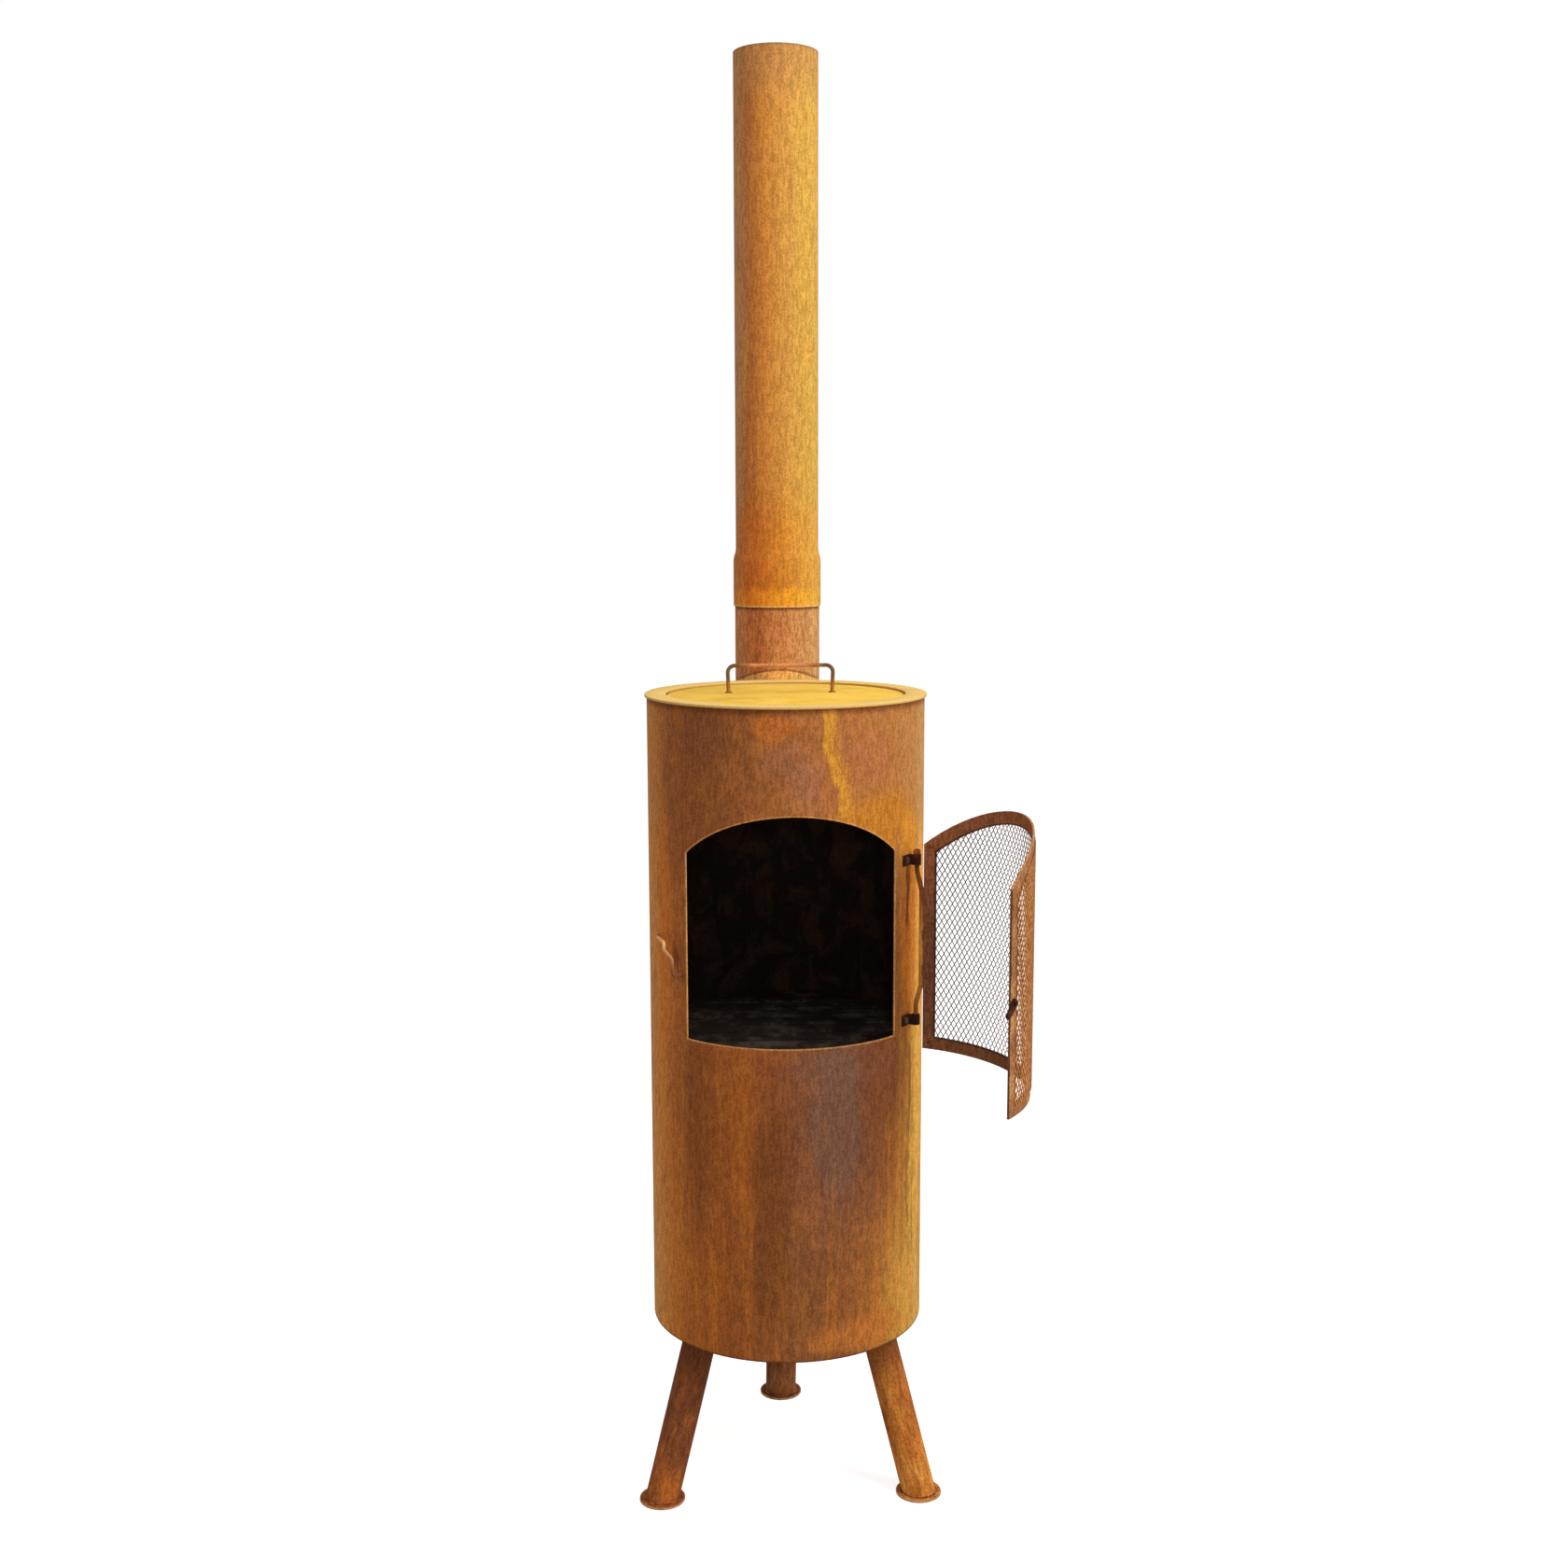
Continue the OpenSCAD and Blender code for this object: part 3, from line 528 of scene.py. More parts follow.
skin = out.fade(shell_out - sheet + 0.0004, shell_out - sheet + 0.0001).blend(skin, soot)
dress("firebox_shell", drum.weathered(skin, grain=0.55))

base = Rust("rusted_sheet_base")
dress("bottom_plate", base.weathered(base.cloud(24, 24, 5.0).tones(
    (0.3, 96, 52, 30), (0.5, 140, 82, 42), (0.7, 178, 110, 54))))

outlet_z = 0.940
tube_round = 0.058
ripple_step = 0.0022
seam_end = 0.002
heights = [drum_low + seam_end + count * ripple_step
           for count in range(int((drum_high - drum_low - 2 * seam_end) / ripple_step))]
welds("drum_seam_weld", "firebox", [([
    (0.0002 * math.sin(height * 800), shell_out - 0.0002, height) for height in heights
    if abs(height - outlet_z) > tube_round + seam_end], seam_bead)])


# ----------------------------------------------------------
# The fire plate that the logs lie on, slotted for air, on three lugs welded inside the drum.
# Both are black with soot and dusted with grey ash.

grate = Rust("sooty_plate")
ash = grate.cloud(26, 26, 6.0, 0.65).fade(0.46, 0.66, 0.5)
sooty = grate.weathered(ash.blend((40, 30, 25), (104, 92, 82)), rough=0.95)
for name in ("fire_plate", "plate_lugs"):
    dress(name, sooty)


# ----------------------------------------------------------
# The top: a flat ring welded on the drum's rim, standing out a little, a ledge welded under it
# inside the drum, and the loose lid that lies on the ledge. Flat plate holds the rain, so it
# has bloomed to an even golden yellow, browner on the cut rims.


def golden_plate(name, top, most, chalky):
    """Plate with the golden bloom of fresh rust, chalky where dry and orange on its rim."""
    plate = Rust(name)
    bloom = plate.cloud(22, 22, 6.0, 0.62, 0.5)
    hue = (plate.cloud(9, 9, 3.0, 0.6) * 0.4 + bloom * 0.6).tones(
        (0.34, 214, 166, 66), (0.46, 232, 187, 76), (0.58, 240, 196, 86), (0.70, 246, 208, 110))
    hue = Level(plate.tree, chalky).blend(hue, (222, 192, 132))
    rim = plate.z.fade(top - 0.0003, top - 0.0011, most)
    return plate.weathered(rim.blend(hue, (204, 154, 96)), grain=0.13, pits=0.12)


ring_low, ring_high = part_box("top_ring")
ring_hole = 0.1512
turned_piece("rim_ring", [
    (ring_hole, ring_low.z), (ring_high.x, ring_low.z), (ring_high.x, ring_high.z),
    (ring_hole, ring_high.z)], "firebox",
    golden_plate("golden_rust_ring", ring_high.z, 0.75, 0.6), ["top_ring"])

lid_low, lid_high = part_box("lid")
turned_piece("lid_plate", [
    (0, lid_low.z), (lid_high.x, lid_low.z), (lid_high.x, lid_high.z), (0, lid_high.z)], "lid",
    golden_plate("golden_rust_lid", lid_high.z, 0.5, 0.0), ["lid"])

ledge = Rust("sooty_ledge")
dress("lid_ledge", ledge.weathered(ledge.cloud(30, 30).tones(
    (0.3, 38, 26, 20), (0.7, 80, 50, 32))))


# ----------------------------------------------------------
# The lid's handle: 5 mm round bar bent into a low bridge, both feet welded to the lid with a
# small fillet of weld round each.


def bent_rod(name, stops, thick, bend, body, material, standing_for):
    """Round bar drawn straight from stop to stop and bent at each with the given radius."""
    bm = bmesh.new()
    stops = [Vector(stop) for stop in stops]
    heading = (stops[1] - stops[0]).normalized()
    at = stops[0]
    start = Matrix.Translation(at) @ heading.to_track_quat("Z", "Y").to_matrix().to_4x4()
    end = bmesh.ops.create_circle(bm, cap_ends=True, segments=20, radius=thick / 2, matrix=start)
    rim = list(end["verts"][0].link_faces[0].edges)

    def draw(edges, way):
        """Pulls the bar's open end on along way and gives the end's new edges."""
        grown = bmesh.ops.extrude_edge_only(bm, edges=edges)["geom"]
        bmesh.ops.translate(bm, vec=way, verts=[v for v in grown
                                                if isinstance(v, bmesh.types.BMVert)])
        return [e for e in grown if isinstance(e, bmesh.types.BMEdge)
                and all(v in grown for v in e.verts)]

    for corner, beyond in zip(stops[1:-1], stops[2:]):
        ahead = (beyond - corner).normalized()
        turn = heading.angle(ahead)
        cut = bend * math.tan(turn / 2)
        rim = draw(rim, corner - heading * cut - at)
        axle = heading.cross(ahead).normalized()
        middle = corner - heading * cut + axle.cross(heading) * bend
        spun = bmesh.ops.spin(bm, geom=rim, cent=middle, axis=axle, angle=turn,
                              steps=max(3, round(math.degrees(turn) / 9)))
        rim = [e for e in spun["geom_last"] if isinstance(e, bmesh.types.BMEdge)]
        at = corner + ahead * cut
        heading = ahead
    rim = draw(rim, stops[-1] - at)
    bmesh.ops.holes_fill(bm, edges=rim)
    bmesh.ops.recalc_face_normals(bm, faces=bm.faces)
    finished(bm, name, body, material, standing_for, 40)


bar = Rust("rusted_bar")
handle_thick = 0.005
handle_bend = 0.009
handle_low, handle_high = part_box("lid_handle")
handle_x = (handle_low.x + handle_high.x) / 2
# The bar is painted lighter along the middle of its bridge and darker at its bends and legs:
# painted light and shade, broken by a mottle.
bar_mottle = bar.cloud(60, 60, 4.0) - 0.5
bar_lit_and_shaded = (bar_mottle * 0.012 + abs(bar.x - handle_x)).tones(
    (0.030, 206, 136, 92), (0.048, 150, 98, 60), (0.056, 112, 84, 52))
feet = (bar_mottle * 0.02 + bar.z).fade(handle_low.z + 0.022, handle_low.z + 0.006, 0.8)
bar_steel = bar.weathered(feet.blend(bar_lit_and_shaded, (176, 122, 58)), bump=0.0002)
foot_span = 0.132
handle_feet = (handle_x - foot_span / 2, handle_x + foot_span / 2)
handle_y = (handle_low.y + handle_high.y) / 2
lid_top = handle_low.z
bridge_z = handle_high.z - handle_thick / 2
bridge_half = (handle_high.x - handle_low.x - handle_thick) / 2
bent_rod("handle_bar", [
    (handle_feet[0], handle_y, lid_top), (handle_x - bridge_half, handle_y, bridge_z),
    (handle_x + bridge_half, handle_y, bridge_z), (handle_feet[1], handle_y, lid_top)],
    handle_thick, handle_bend, "lid", bar_steel, ["lid_handle"])

foot_fillet = 0.0033
fillet_z = lid_top + 0.0004
welds("handle_welds", "lid", [([
    (foot_x + foot_fillet * math.cos(turn), handle_y + foot_fillet * math.sin(turn), fillet_z)
    for turn in turns(10)], rod_bead) for foot_x in handle_feet])


# ----------------------------------------------------------
# The flue: an outlet and a stub of 1.5 mm tube mitred and welded behind the drum, and the upper
# pipe, whose lower end is swaged out into a socket that slips over the stub. Rain runs down the
# pipe in orange and yellow lines; the top rim is worn, and the socket's lower lip carries a
# painted highlight.

flue_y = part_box("flue_stub")[1].y - tube_round
flue_middle = Vector((0, flue_y, 0))
pipe_low, pipe_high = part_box("flue_pipe")
wall = 0.0015
pipe_out, socket_out = 0.0565, 0.05988
swage_low, swage_high = 1.190, 1.206


def flue_tube(name, bands, run_colour, dark_colour):
    """Finish of a flue tube: colours by degrees from the front at each height, and its runs."""
    tube = Rust(name, flue_middle)
    sway = tube.cloud(30, 3, 5.0, 0.65, 0.4) - 0.5
    lean = sway * 34.0 + tube.degrees()
    level = sway * 0.05 + tube.z
    hue = painted_round(lean, bands[0][2])
    for start, end, stops in bands[1:]:
        hue = level.fade(start, end).blend(hue, painted_round(lean, stops))
    drip = tube.cloud(105, 9, 5.0, 0.65, 0.2)
    hue = drip.fade(0.52, 0.70, 0.5).blend(hue, run_colour)
    return tube, drip.fade(0.47, 0.32, 0.4).blend(hue, dark_colour)


pipe_back = [(-180, 178, 112, 52), (-146, 192, 124, 56), (-112, 170, 106, 56), (92, 200, 146, 68),
             (126, 178, 114, 50), (154, 190, 124, 56), (180, 178, 112, 52)]
pipe, hue = flue_tube("rusted_tube_pipe", [
    (0, 0, pipe_back + [
        (-84, 190, 136, 96), (-60, 188, 128, 82), (-42, 186, 110, 54), (-22, 199, 124, 52),
        (0, 196, 134, 60), (20, 196, 143, 66), (40, 198, 150, 66), (60, 204, 158, 75)]),
    (1.30, 1.22, pipe_back + [
        (-84, 194, 126, 76), (-60, 196, 114, 56), (-40, 200, 108, 42), (-20, 199, 111, 41),
        (0, 202, 126, 40), (20, 204, 140, 54), (40, 206, 148, 62), (60, 210, 156, 72)]),
    (1.156, 1.142, pipe_back + [
        (-84, 222, 134, 60), (-40, 232, 134, 38), (0, 232, 152, 42), (30, 232, 166, 50),
        (60, 224, 170, 64)])], (216, 148, 62), (168, 98, 48))
bore = pipe.out_from_axis().fade(pipe_out - wall + 0.0004, pipe_out - wall + 0.0001)
# Laid over the pipe: a paler top, a darker top rim, a painted highlight along the socket's lower
# lip, and the black bore.
for amount, worn in (
        (pipe.z.fade(pipe_high.z - 0.09, pipe_high.z - 0.02, 0.55), (178, 124, 76)),
        (pipe.z.fade(pipe_high.z - 0.004, pipe_high.z - 0.0015, 0.7), (150, 104, 74)),
        (pipe.z.fade(pipe_low.z + 0.0035, pipe_low.z + 0.0015, 0.75), (236, 184, 112)),
        (bore, (44, 28, 20))):
    hue = amount.blend(hue, worn)
swage = [(pipe_out, swage_high), (pipe_out + 0.0006, swage_high - 0.0045),
         (socket_out - 0.0006, swage_low + 0.0045), (socket_out, swage_low)]
turned_piece("upper_pipe", [
    (pipe_out - wall, pipe_high.z), (pipe_out, pipe_high.z), *swage,
    (socket_out, pipe_low.z), (socket_out - wall, pipe_low.z),
    *((radius - wall, height) for radius, height in reversed(swage))], "flue",
    pipe.weathered(hue, grain=0.52), ["flue_pipe"],
    Matrix.Translation(flue_middle), 0.0004, 96)

stub_stops = [(-180, 168, 104, 60), (-130, 176, 112, 64), (-84, 198, 134, 88), (-60, 198, 128, 78),
              (-40, 186, 108, 60), (-20, 186, 112, 62), (0, 190, 122, 72), (20, 190, 130, 80),
              (40, 190, 134, 84), (60, 202, 150, 94), (110, 178, 118, 70), (180, 168, 104, 60)]
stub_bore = tube_round - wall
for name in ("flue_stub", "flue_outlet"):
    tube, hue = flue_tube(f"rusted_tube_{name[5:]}", [(0, 0, stub_stops)],
                          (214, 154, 86), (146, 88, 56))
    # A painted shadow under the socket's lip darkens the stub just below it.
    socket_lip_shadow = tube.z.fade(pipe_low.z - 0.006, pipe_low.z - 0.0005, 0.8)
    hue = socket_lip_shadow.blend(hue, (96, 48, 24))
    # A painted shadow of the handle bar, a dark arched line across the stub, with painted light in
    # the arch below it, in front only
    handle_shadow_arc = tube.x * tube.x * 5.0 + tube.z
    handle_shadow_top = lid_top + 0.0155
    front = tube.y.fade(-0.010, -0.034) * tube.z.fade(lid_top - 0.05, lid_top - 0.015)
    painted_handle_shadow = front * handle_shadow_arc.fade(handle_shadow_top + 0.003, handle_shadow_top + 0.001, 0.6)
    hue = painted_handle_shadow.blend(hue, (128, 66, 34))
    painted_light_below_shadow = front * handle_shadow_arc.fade(handle_shadow_top, handle_shadow_top - 0.002, 0.85)
    hue = painted_light_below_shadow.blend(hue, (236, 176, 98))
    # The bore is black with soot: round the upright axis in the stub, round a level one behind
    up = tube.z - outlet_z
    level_out = (tube.x * tube.x + up * up).root()
    bore_out = tube.out_from_axis() if name == "flue_stub" else level_out
    hue = bore_out.fade(stub_bore + 0.0004, stub_bore + 0.0001).blend(hue, (40, 26, 19))
    dress(name, tube.weathered(hue, grain=0.66))

# The outlet is welded to the drum along the saddle where they meet, and to the stub along a mitre
round_outlet = [(tube_round * math.sin(turn), tube_round * math.cos(turn)) for turn in turns(130)]
welds("flue_welds", "firebox", [
    ([(across, math.sqrt(shell_out ** 2 - across ** 2) + 0.0006, outlet_z + up)
      for across, up in round_outlet], heavy_bead),
    ([(across, flue_y - up, outlet_z + up) for across, up in round_outlet], seam_bead)])


# ----------------------------------------------------------
# The hinge: two strips of dark steel with their ends curled round the hinge rod, each held to
# the drum by a domed bolt and a nut inside.

strap = Rust("dark_rust_strap")
strap_steel = strap.weathered(strap.cloud(80, 80, 4.0).tones(
    (0.35, 34, 12, 5), (0.6, 62, 30, 15), (0.75, 104, 58, 34)), grain=0.3)
for name in ("hinge_strap_upper", "hinge_strap_lower"):
    dress(name, strap_steel)

bolt = Rust("dark_bolt_steel")
bolt_steel = bolt.weathered(bolt.cloud(160, 160, 3.0).tones(
    (0.35, 54, 28, 16), (0.7, 98, 60, 38)), rough=0.7, sheen=0.4)
bolt_degrees = 54.45
head_round, head_high, shank_round = 0.0042, 0.0022, 0.0025
shank_end = -0.0065
strap_out = shell_out + 0.0021
bm = bmesh.new()
for name in ("hinge_strap_upper", "hinge_strap_lower"):
    low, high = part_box(name)
    facing = (Matrix.Translation((0, 0, (low.z + high.z) / 2))
              @ Matrix.Rotation(math.radians(bolt_degrees), 4, "Z")
              @ Matrix.Translation((0, -strap_out, 0)) @ Matrix.Rotation(math.pi / 2, 4, "X"))
    turned(bm, [(0, shank_end), (shank_round, shank_end), (shank_round, 0), (head_round, 0),
                (head_round, head_high * 0.45), (head_round * 0.86, head_high * 0.78),
                (head_round * 0.5, head_high * 0.97), (0, head_high)], facing, 0, 28)
finished(bm, "domed_bolts", "firebox", bolt_steel, ["hinge_bolts"])
dress("hinge_nuts", bolt_steel)


# ----------------------------------------------------------
# The hinge rod: 6 mm round bar. Its middle is tacked along the door frame's edge and its two
# ends are cranked out into the straps; a domed cap on the upper end keeps it in.

hinge = next(j for j in frame["joints"] if j["name"] == "door_hinge")
hinge_at = Vector(hinge["pos_m"])
door_open = -math.radians(hinge["range_deg"][0])
hang = (Matrix.Translation((hinge_at.x, hinge_at.y, 0)) @ Matrix.Rotation(door_open, 4, "Z")
        @ Matrix.Translation((-hinge_at.x, -hinge_at.y, 0)))


def on_closed_door(degrees, out, z):
    """Place on the closed door, by degrees round the drum from the front."""
    turn = math.radians(degrees)
    return Vector((out * math.sin(turn), -out * math.cos(turn), z))


rod_low, rod_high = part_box("hinge_rod")
rod_thick = 0.006
rod_bend = 0.02
hinge_degrees = math.degrees(math.atan2(hinge_at.x, -hinge_at.y))
hinge_out = math.hypot(hinge_at.x, hinge_at.y)
hinge_edge, free_edge = 54.9, -48.5
frame_in, frame_out = 0.1798, 0.1823
rod_beside = 0.0031
edge_degrees = hinge_edge + math.degrees(rod_beside / ((frame_in + frame_out) / 2))
edge_out = 0.18165
low_bend, high_bend = 0.652, 0.820
crank = 0.024
rod_paint = Rust("rusted_hinge_rod")
rod_steel = rod_paint.weathered(((rod_paint.cloud(60, 30, 4.0) - 0.5) * 0.06 + rod_paint.z).tones(
    (0.63, 112, 58, 28), (0.67, 180, 110, 52), (0.74, 204, 140, 64), (0.79, 142, 78, 36),
    (0.83, 96, 46, 20)), bump=0.0002)
bent_rod("door_rod", [hang @ on_closed_door(*stop) for stop in [
    (hinge_degrees, hinge_out, rod_low.z),
    (hinge_degrees, hinge_out, low_bend),
    (edge_degrees, edge_out, low_bend + crank),
    (edge_degrees, edge_out, high_bend - crank),
    (hinge_degrees, hinge_out, high_bend),
    (hinge_degrees, hinge_out, rod_high.z)]],
    rod_thick, rod_bend, "door", rod_steel, ["hinge_rod"])

cap_low, cap_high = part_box("rod_cap")
cap_round = (cap_high.x - cap_low.x) / 2
cap_paint = Rust("rusted_cap")
turned_piece("domed_cap", [
    (0, cap_low.z), (cap_round, cap_low.z), (cap_round, cap_high.z - 0.0018),
    (cap_round * 0.8, cap_high.z - 0.0005), (0, cap_high.z)], "door",
    cap_paint.weathered(cap_paint.cloud(160, 160, 3.0).tones(
        (0.35, 110, 46, 22), (0.7, 164, 84, 42))), ["rod_cap"],
    Matrix.Translation(((cap_low.x + cap_high.x) / 2, (cap_low.y + cap_high.y) / 2, 0)),
    0.0004, 28)


# ----------------------------------------------------------
# The door: a frame of steel strip, rolled to the drum's curve and arched like the mouth, its
# corners mitred and welded, with a sheet of expanded metal welded to its outside. The inside of
# the frame is dark from smoke.

door_axis = hang @ Vector((0, 0, 0))
corner_z = 0.853
frame_width = 0.016
door_low, door_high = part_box("door_frame")
sheet_in, sheet_out = 0.1824, 0.1840
sheet_mid = (sheet_in + sheet_out) / 2
door_middle = (hinge_edge + free_edge) / 2
half_wide = math.radians(hinge_edge - free_edge) / 2 * sheet_mid
rise = door_high.z - corner_z
arch = (half_wide ** 2 + rise ** 2) / (2 * rise)
strip = Rust("dark_rust_frame", door_axis, (0, 0, door_open))
worn = strip.cloud(40, 26, 5.0, 0.6, 0.3)
inner = ((worn - 0.5) * 0.16 + strip.z).tones(
    (0.60, 124, 76, 46), (0.66, 116, 71, 52), (0.75, 126, 77, 55), (0.83, 150, 90, 58),
    (0.88, 148, 90, 60))
# On the free side the inner face is painted darker above the arch's start and lighter golden below
# it; the golden is painted light, where that face turns towards the lamp.
free_side = strip.degrees().fade(free_edge + 9, free_edge + 6)
inner = (free_side * strip.z.fade(0.84, 0.86, 0.7)).blend(inner, (98, 60, 45))
inner = (free_side * strip.z.fade(0.85, 0.83, 0.8)).blend(inner, (196, 140, 92))
outer = worn.tones((0.36, 136, 88, 50), (0.52, 160, 108, 70), (0.68, 196, 142, 86))
strip_out = strip.out_from_axis()
hue = strip_out.fade(frame_in + 0.0003, frame_in + 0.0008).blend(inner, (176, 124, 84))
hue = strip_out.fade(frame_out - 0.0006, frame_out - 0.0002).blend(hue, outer)

# A dark line along the strip's edge that borders the mesh: painted shade in the gap between mesh
# and frame
from_mesh = past_outline(strip, door_middle, half_wide, sheet_mid, door_low.z, door_high.z,
                         arch, frame_width)
hue = from_mesh.fade(0.0026, 0.0008, 0.8).blend(hue, (52, 28, 20))
# The free edge's cut face is painted dark: painted shade.
free_cut = strip.degrees().fade(free_edge + 0.3, free_edge + 0.1, 0.85)
dress("door_frame", strip.weathered(free_cut.blend(hue, (84, 46, 26)), grain=0.7))

# The mitres run inwards, nearly level at the arch's ends and at 45 degrees at the foot
tack_heights = (0.690, 0.735, 0.780)
tack_aside = 0.0019
rows = []
for degrees, way in ((hinge_edge, -1), (free_edge, 1)):
    inward = way * math.degrees(frame_width / frame_in)
    for corner, slope in ((corner_z, -0.2), (door_low.z, 1.0)):
        rows.append(([hang @ on_closed_door(
            degrees + inward * share, frame_in + 0.0002, corner + slope * frame_width * share)
            for share in (0.05 + 0.09 * step for step in range(11))], fine_bead))
rows.append(([hang @ on_closed_door(
    hinge_edge + 0.2, edge_out + side, height + ripple_step * step)
    for height in tack_heights for side in (-tack_aside, tack_aside) for step in range(6)],
    rod_bead))
welds("door_welds", "door", rows)

strand = Rust("mesh_rust", door_axis, (0, 0, door_open))
bright = strand.cloud(160, 160, 3.0).tones(
    (0.38, 176, 104, 54), (0.54, 204, 134, 74), (0.70, 224, 172, 116))
smoked = strand.cloud(90, 90, 3.0).tones(
    (0.38, 66, 42, 32), (0.54, 104, 66, 46), (0.70, 150, 102, 74))
# The outside strands are painted darker from some 14 to 24 degrees in from the free edge onward,
# where the mesh is seen edge-on: painted shade.
mesh_edge_on_shade = strand.degrees().fade(free_edge + 14, free_edge + 24, 0.6)
outside = strand.out_from_axis().fade(sheet_in + 0.0005, sheet_out - 0.0003)
strand_steel = strand.weathered(
    outside.blend(smoked, mesh_edge_on_shade.blend(bright, (122, 80, 54))), grain=0.3, bump=0.0001)
lap = 0.005
edge = frame_width - lap
diamond_wide, diamond_high = 0.0073, 0.0116
strand_half = 0.00052
strand_deep = 0.0006
twist = 0.00045
spare = 0.006
hole_least = 0.00001
side_corner = 0.001
off_strip = 0.0001

bm = bmesh.new()
across = math.ceil(2 * half_wide / diamond_wide) + 8
bmesh.ops.create_grid(bm, x_segments=2 * across, y_segments=2 * across, size=across)
bmesh.ops.rotate(bm, cent=(0, 0, 0), matrix=Matrix.Rotation(math.radians(45), 3, "Z"),
                 verts=bm.verts)
half_diagonal = math.sqrt(0.5)
middle_z = (door_low.z + door_high.z) / 2
bmesh.ops.scale(bm, vec=(diamond_wide / 2 / half_diagonal, diamond_high / 2 / half_diagonal, 1),
                verts=bm.verts)
reach = half_wide - edge + spare
far = [f for f in bm.faces if abs(f.calc_center_median().x) > reach
       or abs(f.calc_center_median().y) > (door_high.z - door_low.z) / 2]
bmesh.ops.delete(bm, geom=far, context="FACES")
bmesh.ops.inset_individual(bm, faces=bm.faces[:], thickness=strand_half, use_even_offset=True)
holes = [f for f in bm.faces if len(f.verts) == 4 and f.calc_area() > hole_least]
for hole in holes:
    middle = hole.calc_center_median()
    for v in hole.verts:
        aside = v.co.x - middle.x
        v.co.z -= twist * ((aside > side_corner) - (aside < -side_corner))
bmesh.ops.delete(bm, geom=holes, context="FACES")


def trim(bm, at, away):
    """Shears off what lies beyond the line."""
    bmesh.ops.bisect_plane(bm, geom=bm.verts[:] + bm.edges[:] + bm.faces[:], plane_co=at,
                           plane_no=away, clear_outer=True)


def arch_height(x):
    """Height of the sheet's arched edge over the sheet's own middle."""
    return door_high.z - middle_z - arch + math.sqrt((arch - edge) ** 2 - x ** 2)


trim(bm, (half_wide - edge, 0, 0), (1, 0, 0))
trim(bm, (edge - half_wide, 0, 0), (-1, 0, 0))
trim(bm, (0, door_low.z + edge - middle_z, 0), (0, -1, 0))
for v in bm.verts:
    v.co.y -= arch_height(v.co.x)
trim(bm, (0, 0, 0), (0, 1, 0))
for v in bm.verts:
    v.co.y += arch_height(v.co.x)
bmesh.ops.recalc_face_normals(bm, faces=bm.faces)
bmesh.ops.solidify(bm, geom=bm.faces[:], thickness=strand_deep)
bottom = min(v.co.z for v in bm.verts)
top = max(v.co.z for v in bm.verts)
squeeze = min(1, (sheet_out - sheet_in - off_strip) / (top - bottom))
for v in bm.verts:
    turn = v.co.x / sheet_mid + math.radians(door_middle)
    out = sheet_in + off_strip + (v.co.z - bottom) * squeeze
    v.co = hang @ Vector((out * math.sin(turn), -out * math.cos(turn), v.co.y + middle_z))
finished(bm, "door_mesh_sheet", "door", strand_steel, ["door_mesh"], 30)


# ----------------------------------------------------------
# The latch: a small dark lever riveted to the door's free edge, and the keeper of bent 4.5 mm
# rod on the drum's left side that it hooks behind, welded on at both ends.

dress("latch_lever", strap_steel)
dress("latch_rivet", strap_steel)
# The keeper is painted lighter up its height, lightest on the upper arm: a painted highlight, with
# painted shade lower down.
keeper = Rust("rusted_keeper")
keeper_steel_highlit = keeper.weathered(keeper.z.tones(
    (0.697, 122, 72, 42), (0.706, 138, 84, 60), (0.716, 176, 118, 82), (0.728, 206, 146, 104),
    (0.734, 236, 180, 124)), grain=0.4)
keeper_thick, keeper_bend = 0.0045, 0.0038
keeper_out, keeper_end = 0.189, 0.1745
keeper_foot = (-49.56, 0.6965)
keeper_stops = [(keeper_foot[0], keeper_end, keeper_foot[1]),
                (keeper_foot[0], keeper_out, keeper_foot[1]),
                (-50.167, keeper_out, 0.7175), (-55.02, keeper_out, 0.7265),
                (-55.02, keeper_out, 0.7355), (-68.44, keeper_end + 0.001, 0.7325)]
bent_rod("keeper_rod", [on_closed_door(*stop) for stop in keeper_stops], keeper_thick,
         keeper_bend, "firebox", keeper_steel_highlit, ["latch_keeper"])
keeper_tip = (-67.6, 0.7327)
keeper_fillet, keeper_bead = 0.0026, 0.0012
welds("keeper_welds", "firebox", [([on_closed_door(
    degrees + math.degrees(keeper_fillet / shell_out) * math.cos(turn), shell_out + 0.0003,
    height + keeper_fillet * math.sin(turn)) for turn in turns(10)], keeper_bead)
    for degrees, height in (keeper_foot, keeper_tip)])


# ----------------------------------------------------------
# The studio: a pale floor, a big soft lamp high on the right, a low one by the camera, and
# white all round. Camera rays see the floor and the background white.


def looked_at(tree):
    """1 for rays from the camera, mirrored or not, and 0 for the light that falls on things."""
    ray = node(tree, "ShaderNodeLightPath").outputs
    return Level(tree, ray["Is Camera Ray"]).larger(
        Level(tree, ray["Is Glossy Ray"]).larger(ray["Is Transmission Ray"]))


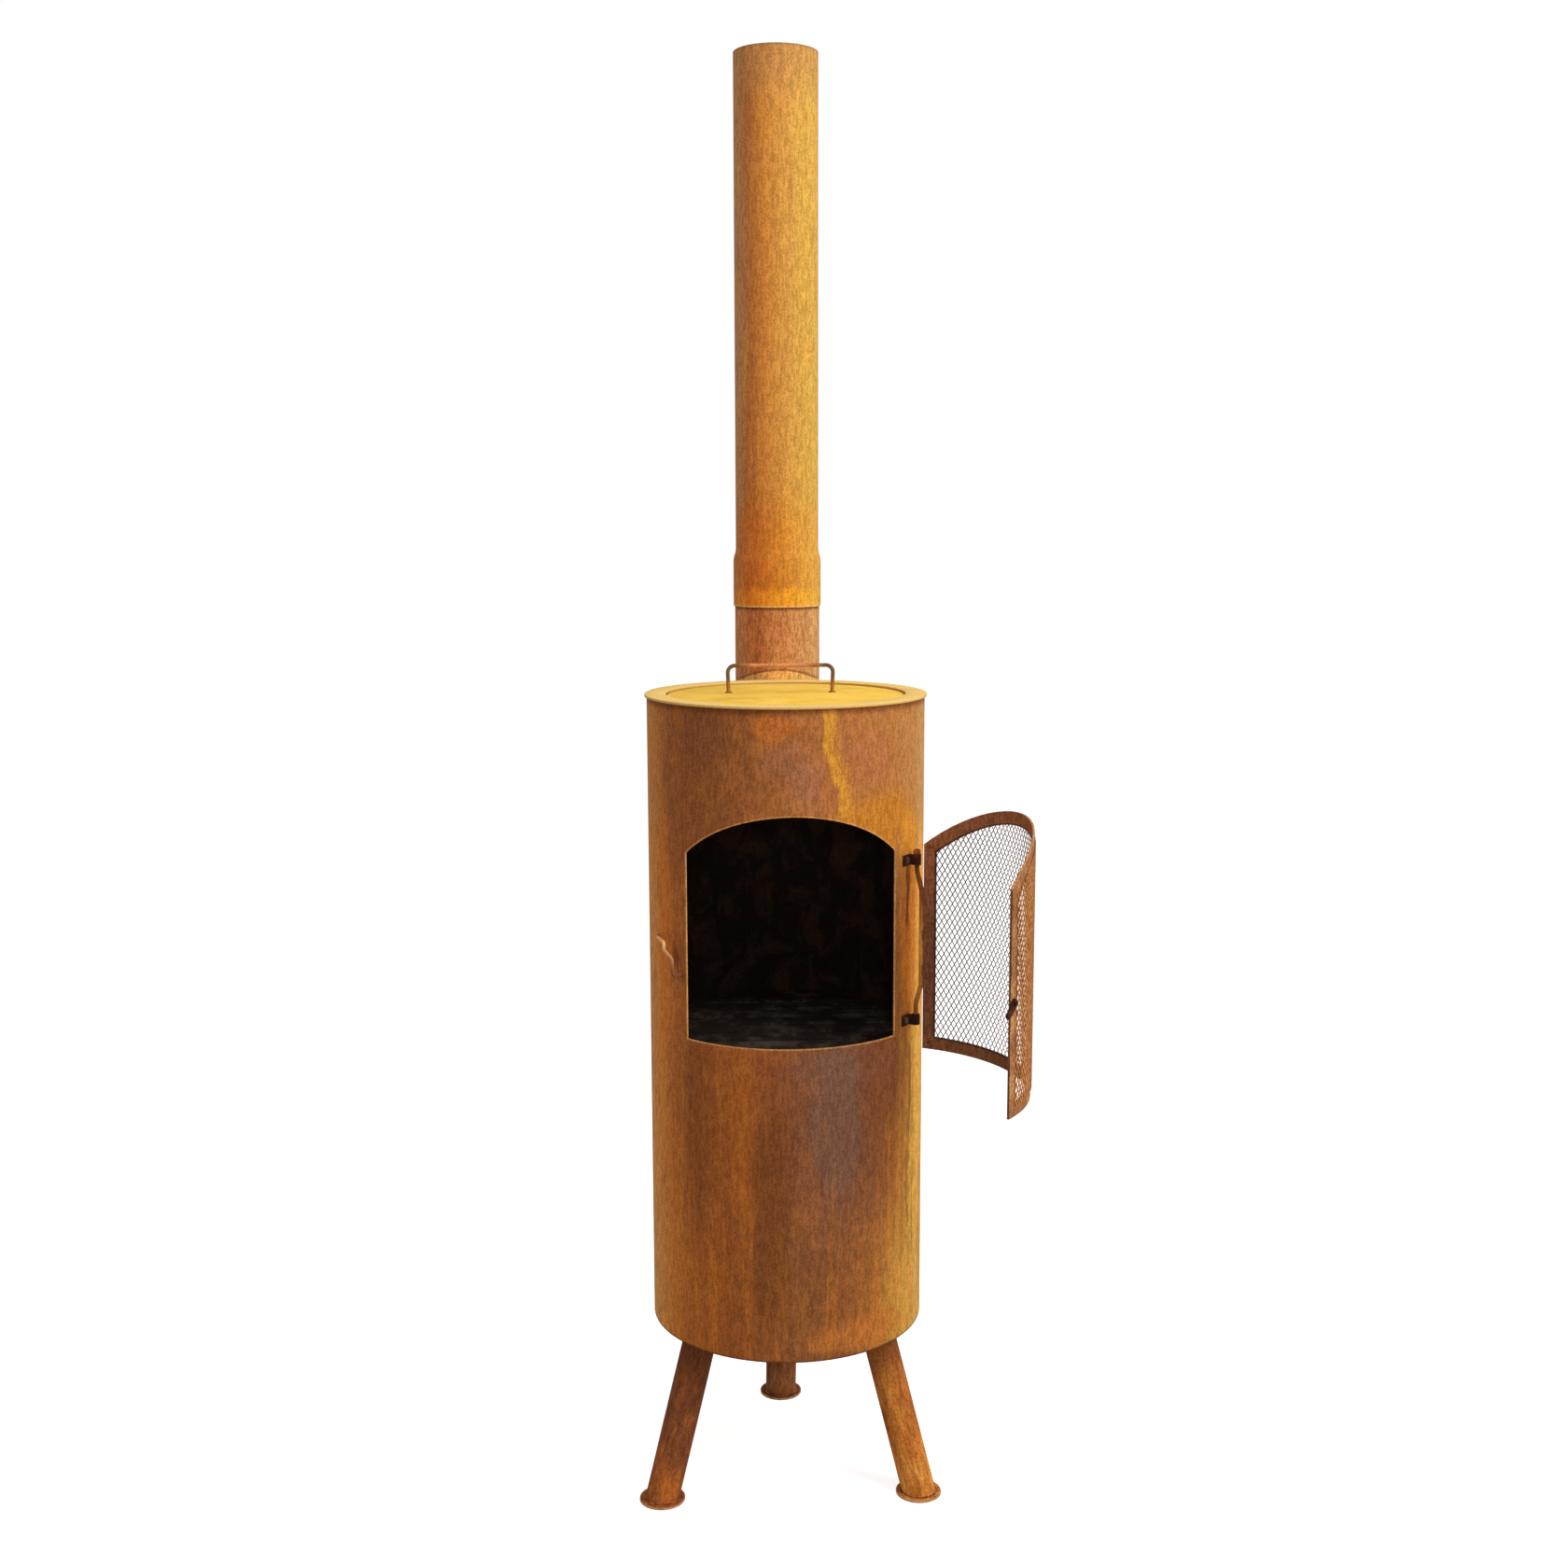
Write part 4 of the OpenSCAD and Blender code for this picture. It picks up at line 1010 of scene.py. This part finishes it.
floor_half = 12
floor_glow = 0.72
room_light = 0.40
bm = bmesh.new()
bmesh.ops.create_grid(bm, x_segments=1, y_segments=1, size=floor_half)
floor_mesh = bpy.data.meshes.new("floor")
bm.to_mesh(floor_mesh)
bm.free()
floor = bpy.data.objects.new("floor", floor_mesh)
bpy.context.scene.collection.objects.link(floor)
floor_paint = bpy.data.materials.new("floor_paint")
floor_paint.use_nodes = True
tree = floor_paint.node_tree
matt = node(tree, "ShaderNodeBsdfDiffuse", {"Color": (0.75, 0.75, 0.75, 1)}).outputs[0]
glow = node(tree, "ShaderNodeEmission", {"Strength": looked_at(tree) * floor_glow}).outputs[0]
tree.nodes.remove(tree.nodes["Principled BSDF"])
tree.links.new(node(tree, "ShaderNodeAddShader", {0: matt, 1: glow}).outputs[0],
               tree.nodes["Material Output"].inputs[0])
floor_mesh.materials.append(floor_paint)

world = bpy.data.worlds.new("studio")
bpy.context.scene.world = world
world.use_nodes = True
tree = world.node_tree
tree.links.new((looked_at(tree) * (1.0 - room_light) + room_light).socket,
               tree.nodes["Background"].inputs["Strength"])
tree.nodes["Background"].inputs["Color"].default_value = (1, 1, 1, 1)


def soft_lamp(name, place, aim, width, power):
    """Square soft box turned towards aim."""
    lamp = bpy.data.objects.new(name, bpy.data.lights.new(name, "AREA"))
    lamp.data.shape = "SQUARE"
    lamp.data.size = width
    lamp.data.energy = power
    lamp.location = place
    lamp.rotation_euler = (Vector(place) - Vector(aim)).to_track_quat("Z", "Y").to_euler()
    bpy.context.scene.collection.objects.link(lamp)


soft_lamp("key_lamp", (3.0, -2.2, 3.2), (0, 0, 0.9), 2.4, 128)
soft_lamp("top_lamp", (0.3, -0.6, 4.2), (0, 0, 0.9), 2.0, 40)
soft_lamp("front_lamp", (-0.1, -3.4, 1.6), (0, 0, 1.0), 0.5, 12)

bpy.context.scene.view_settings.view_transform = "Standard"


# ----------------------------------------------------------
# How far each thing shows from its image point.

made = {piece.name: piece for piece in bpy.data.objects if piece.type == "MESH"}
made.update(frame["nodes"])
shown_of = {}
surface_depth = 0.003


def showing(name):
    """Where a piece's visible finished vertices show in the photograph's frame."""
    if name not in shown_of:
        bpy.context.view_layer.update()
        graph = bpy.context.evaluated_depsgraph_get()
        piece = made[name].evaluated_get(graph)
        eye = camera.matrix_world.translation
        places = [piece.matrix_world @ v.co for v in piece.data.vertices]
        found = []
        for place in places:
            met, where = bpy.context.scene.ray_cast(graph, eye, (place - eye).normalized())[:2]
            if not met or (where - eye).length > (place - eye).length - surface_depth:
                found.append(place_on_picture(place))
        shown_of[name] = found or [place_on_picture(place) for place in places]
    return shown_of[name]


def gap(point, places):
    """How far the nearest of the places shows from the point."""
    near = min(places, key=lambda place: (place - Vector(point)).length)
    return [round(near.x - point[0], 1), round(near.y - point[1], 1)]


def middle_of(places):
    """Middle of the rectangle the places fill in the picture."""
    xs, ys = [place.x for place in places], [place.y for place in places]
    return Vector(((min(xs) + max(xs)) / 2, (min(ys) + max(ys)) / 2))


def corner_of(places, right, down):
    """The place that lies furthest in a slanted direction of the picture."""
    return max(places, key=lambda place: place.x * right + place.y * down)


ends = {
    "left_edge": ("foot_disc_left", -1, 0, (left_edge_x, None)),
    "right_edge": ("door_frame", 1, 0, (right_edge_x, None)),
    "top_edge": ("upper_pipe", 0, -1, (None, top_edge_y)),
    "bottom_edge": ("foot_disc_left", 0, 1, (None, bottom_edge_y)),
    "ring_left": ("rim_ring", -1, 0, seen["ring_left"]),
    "ring_right": ("rim_ring", 1, 0, seen["ring_right"]),
    "socket_rim": ("upper_pipe", 0, 1, seen["socket_rim"]),
    "handle_left_bend": ("handle_bar", -1, -1, seen["handle_left_bend"]),
    "handle_right_bend": ("handle_bar", 1, -1, seen["handle_right_bend"]),
    "keeper_tail": ("keeper_rod", -1, 0, seen["keeper_tail"]),
    "door_free_tip": ("door_frame", 0, 1, seen["door_free_tip"]),
}
for name, (piece, right, down, point) in ends.items():
    at = corner_of(showing(piece), right, down)
    [None if want is None else round(have - want, 1) for have, want in zip(at, point)]
for name in ("left", "right", "rear"):
    gap(seen[f"{name}_foot"], [middle_of(showing(f"foot_disc_{name}"))])
for name, piece in (("mouth_left_corner", "firebox_shell"), ("mouth_right_corner", "firebox_shell"),
                    ("mouth_peak", "firebox_shell"), ("mouth_sill", "firebox_shell"),
                    ("door_hinge_corner", "door_frame"), ("door_low_corner", "door_frame")):
    gap(seen[name], showing(piece))
for name, place in (("golden_run_top", run_top), ("golden_run_low", run_low)):
    gap(seen[name], [place_on_picture(place)])
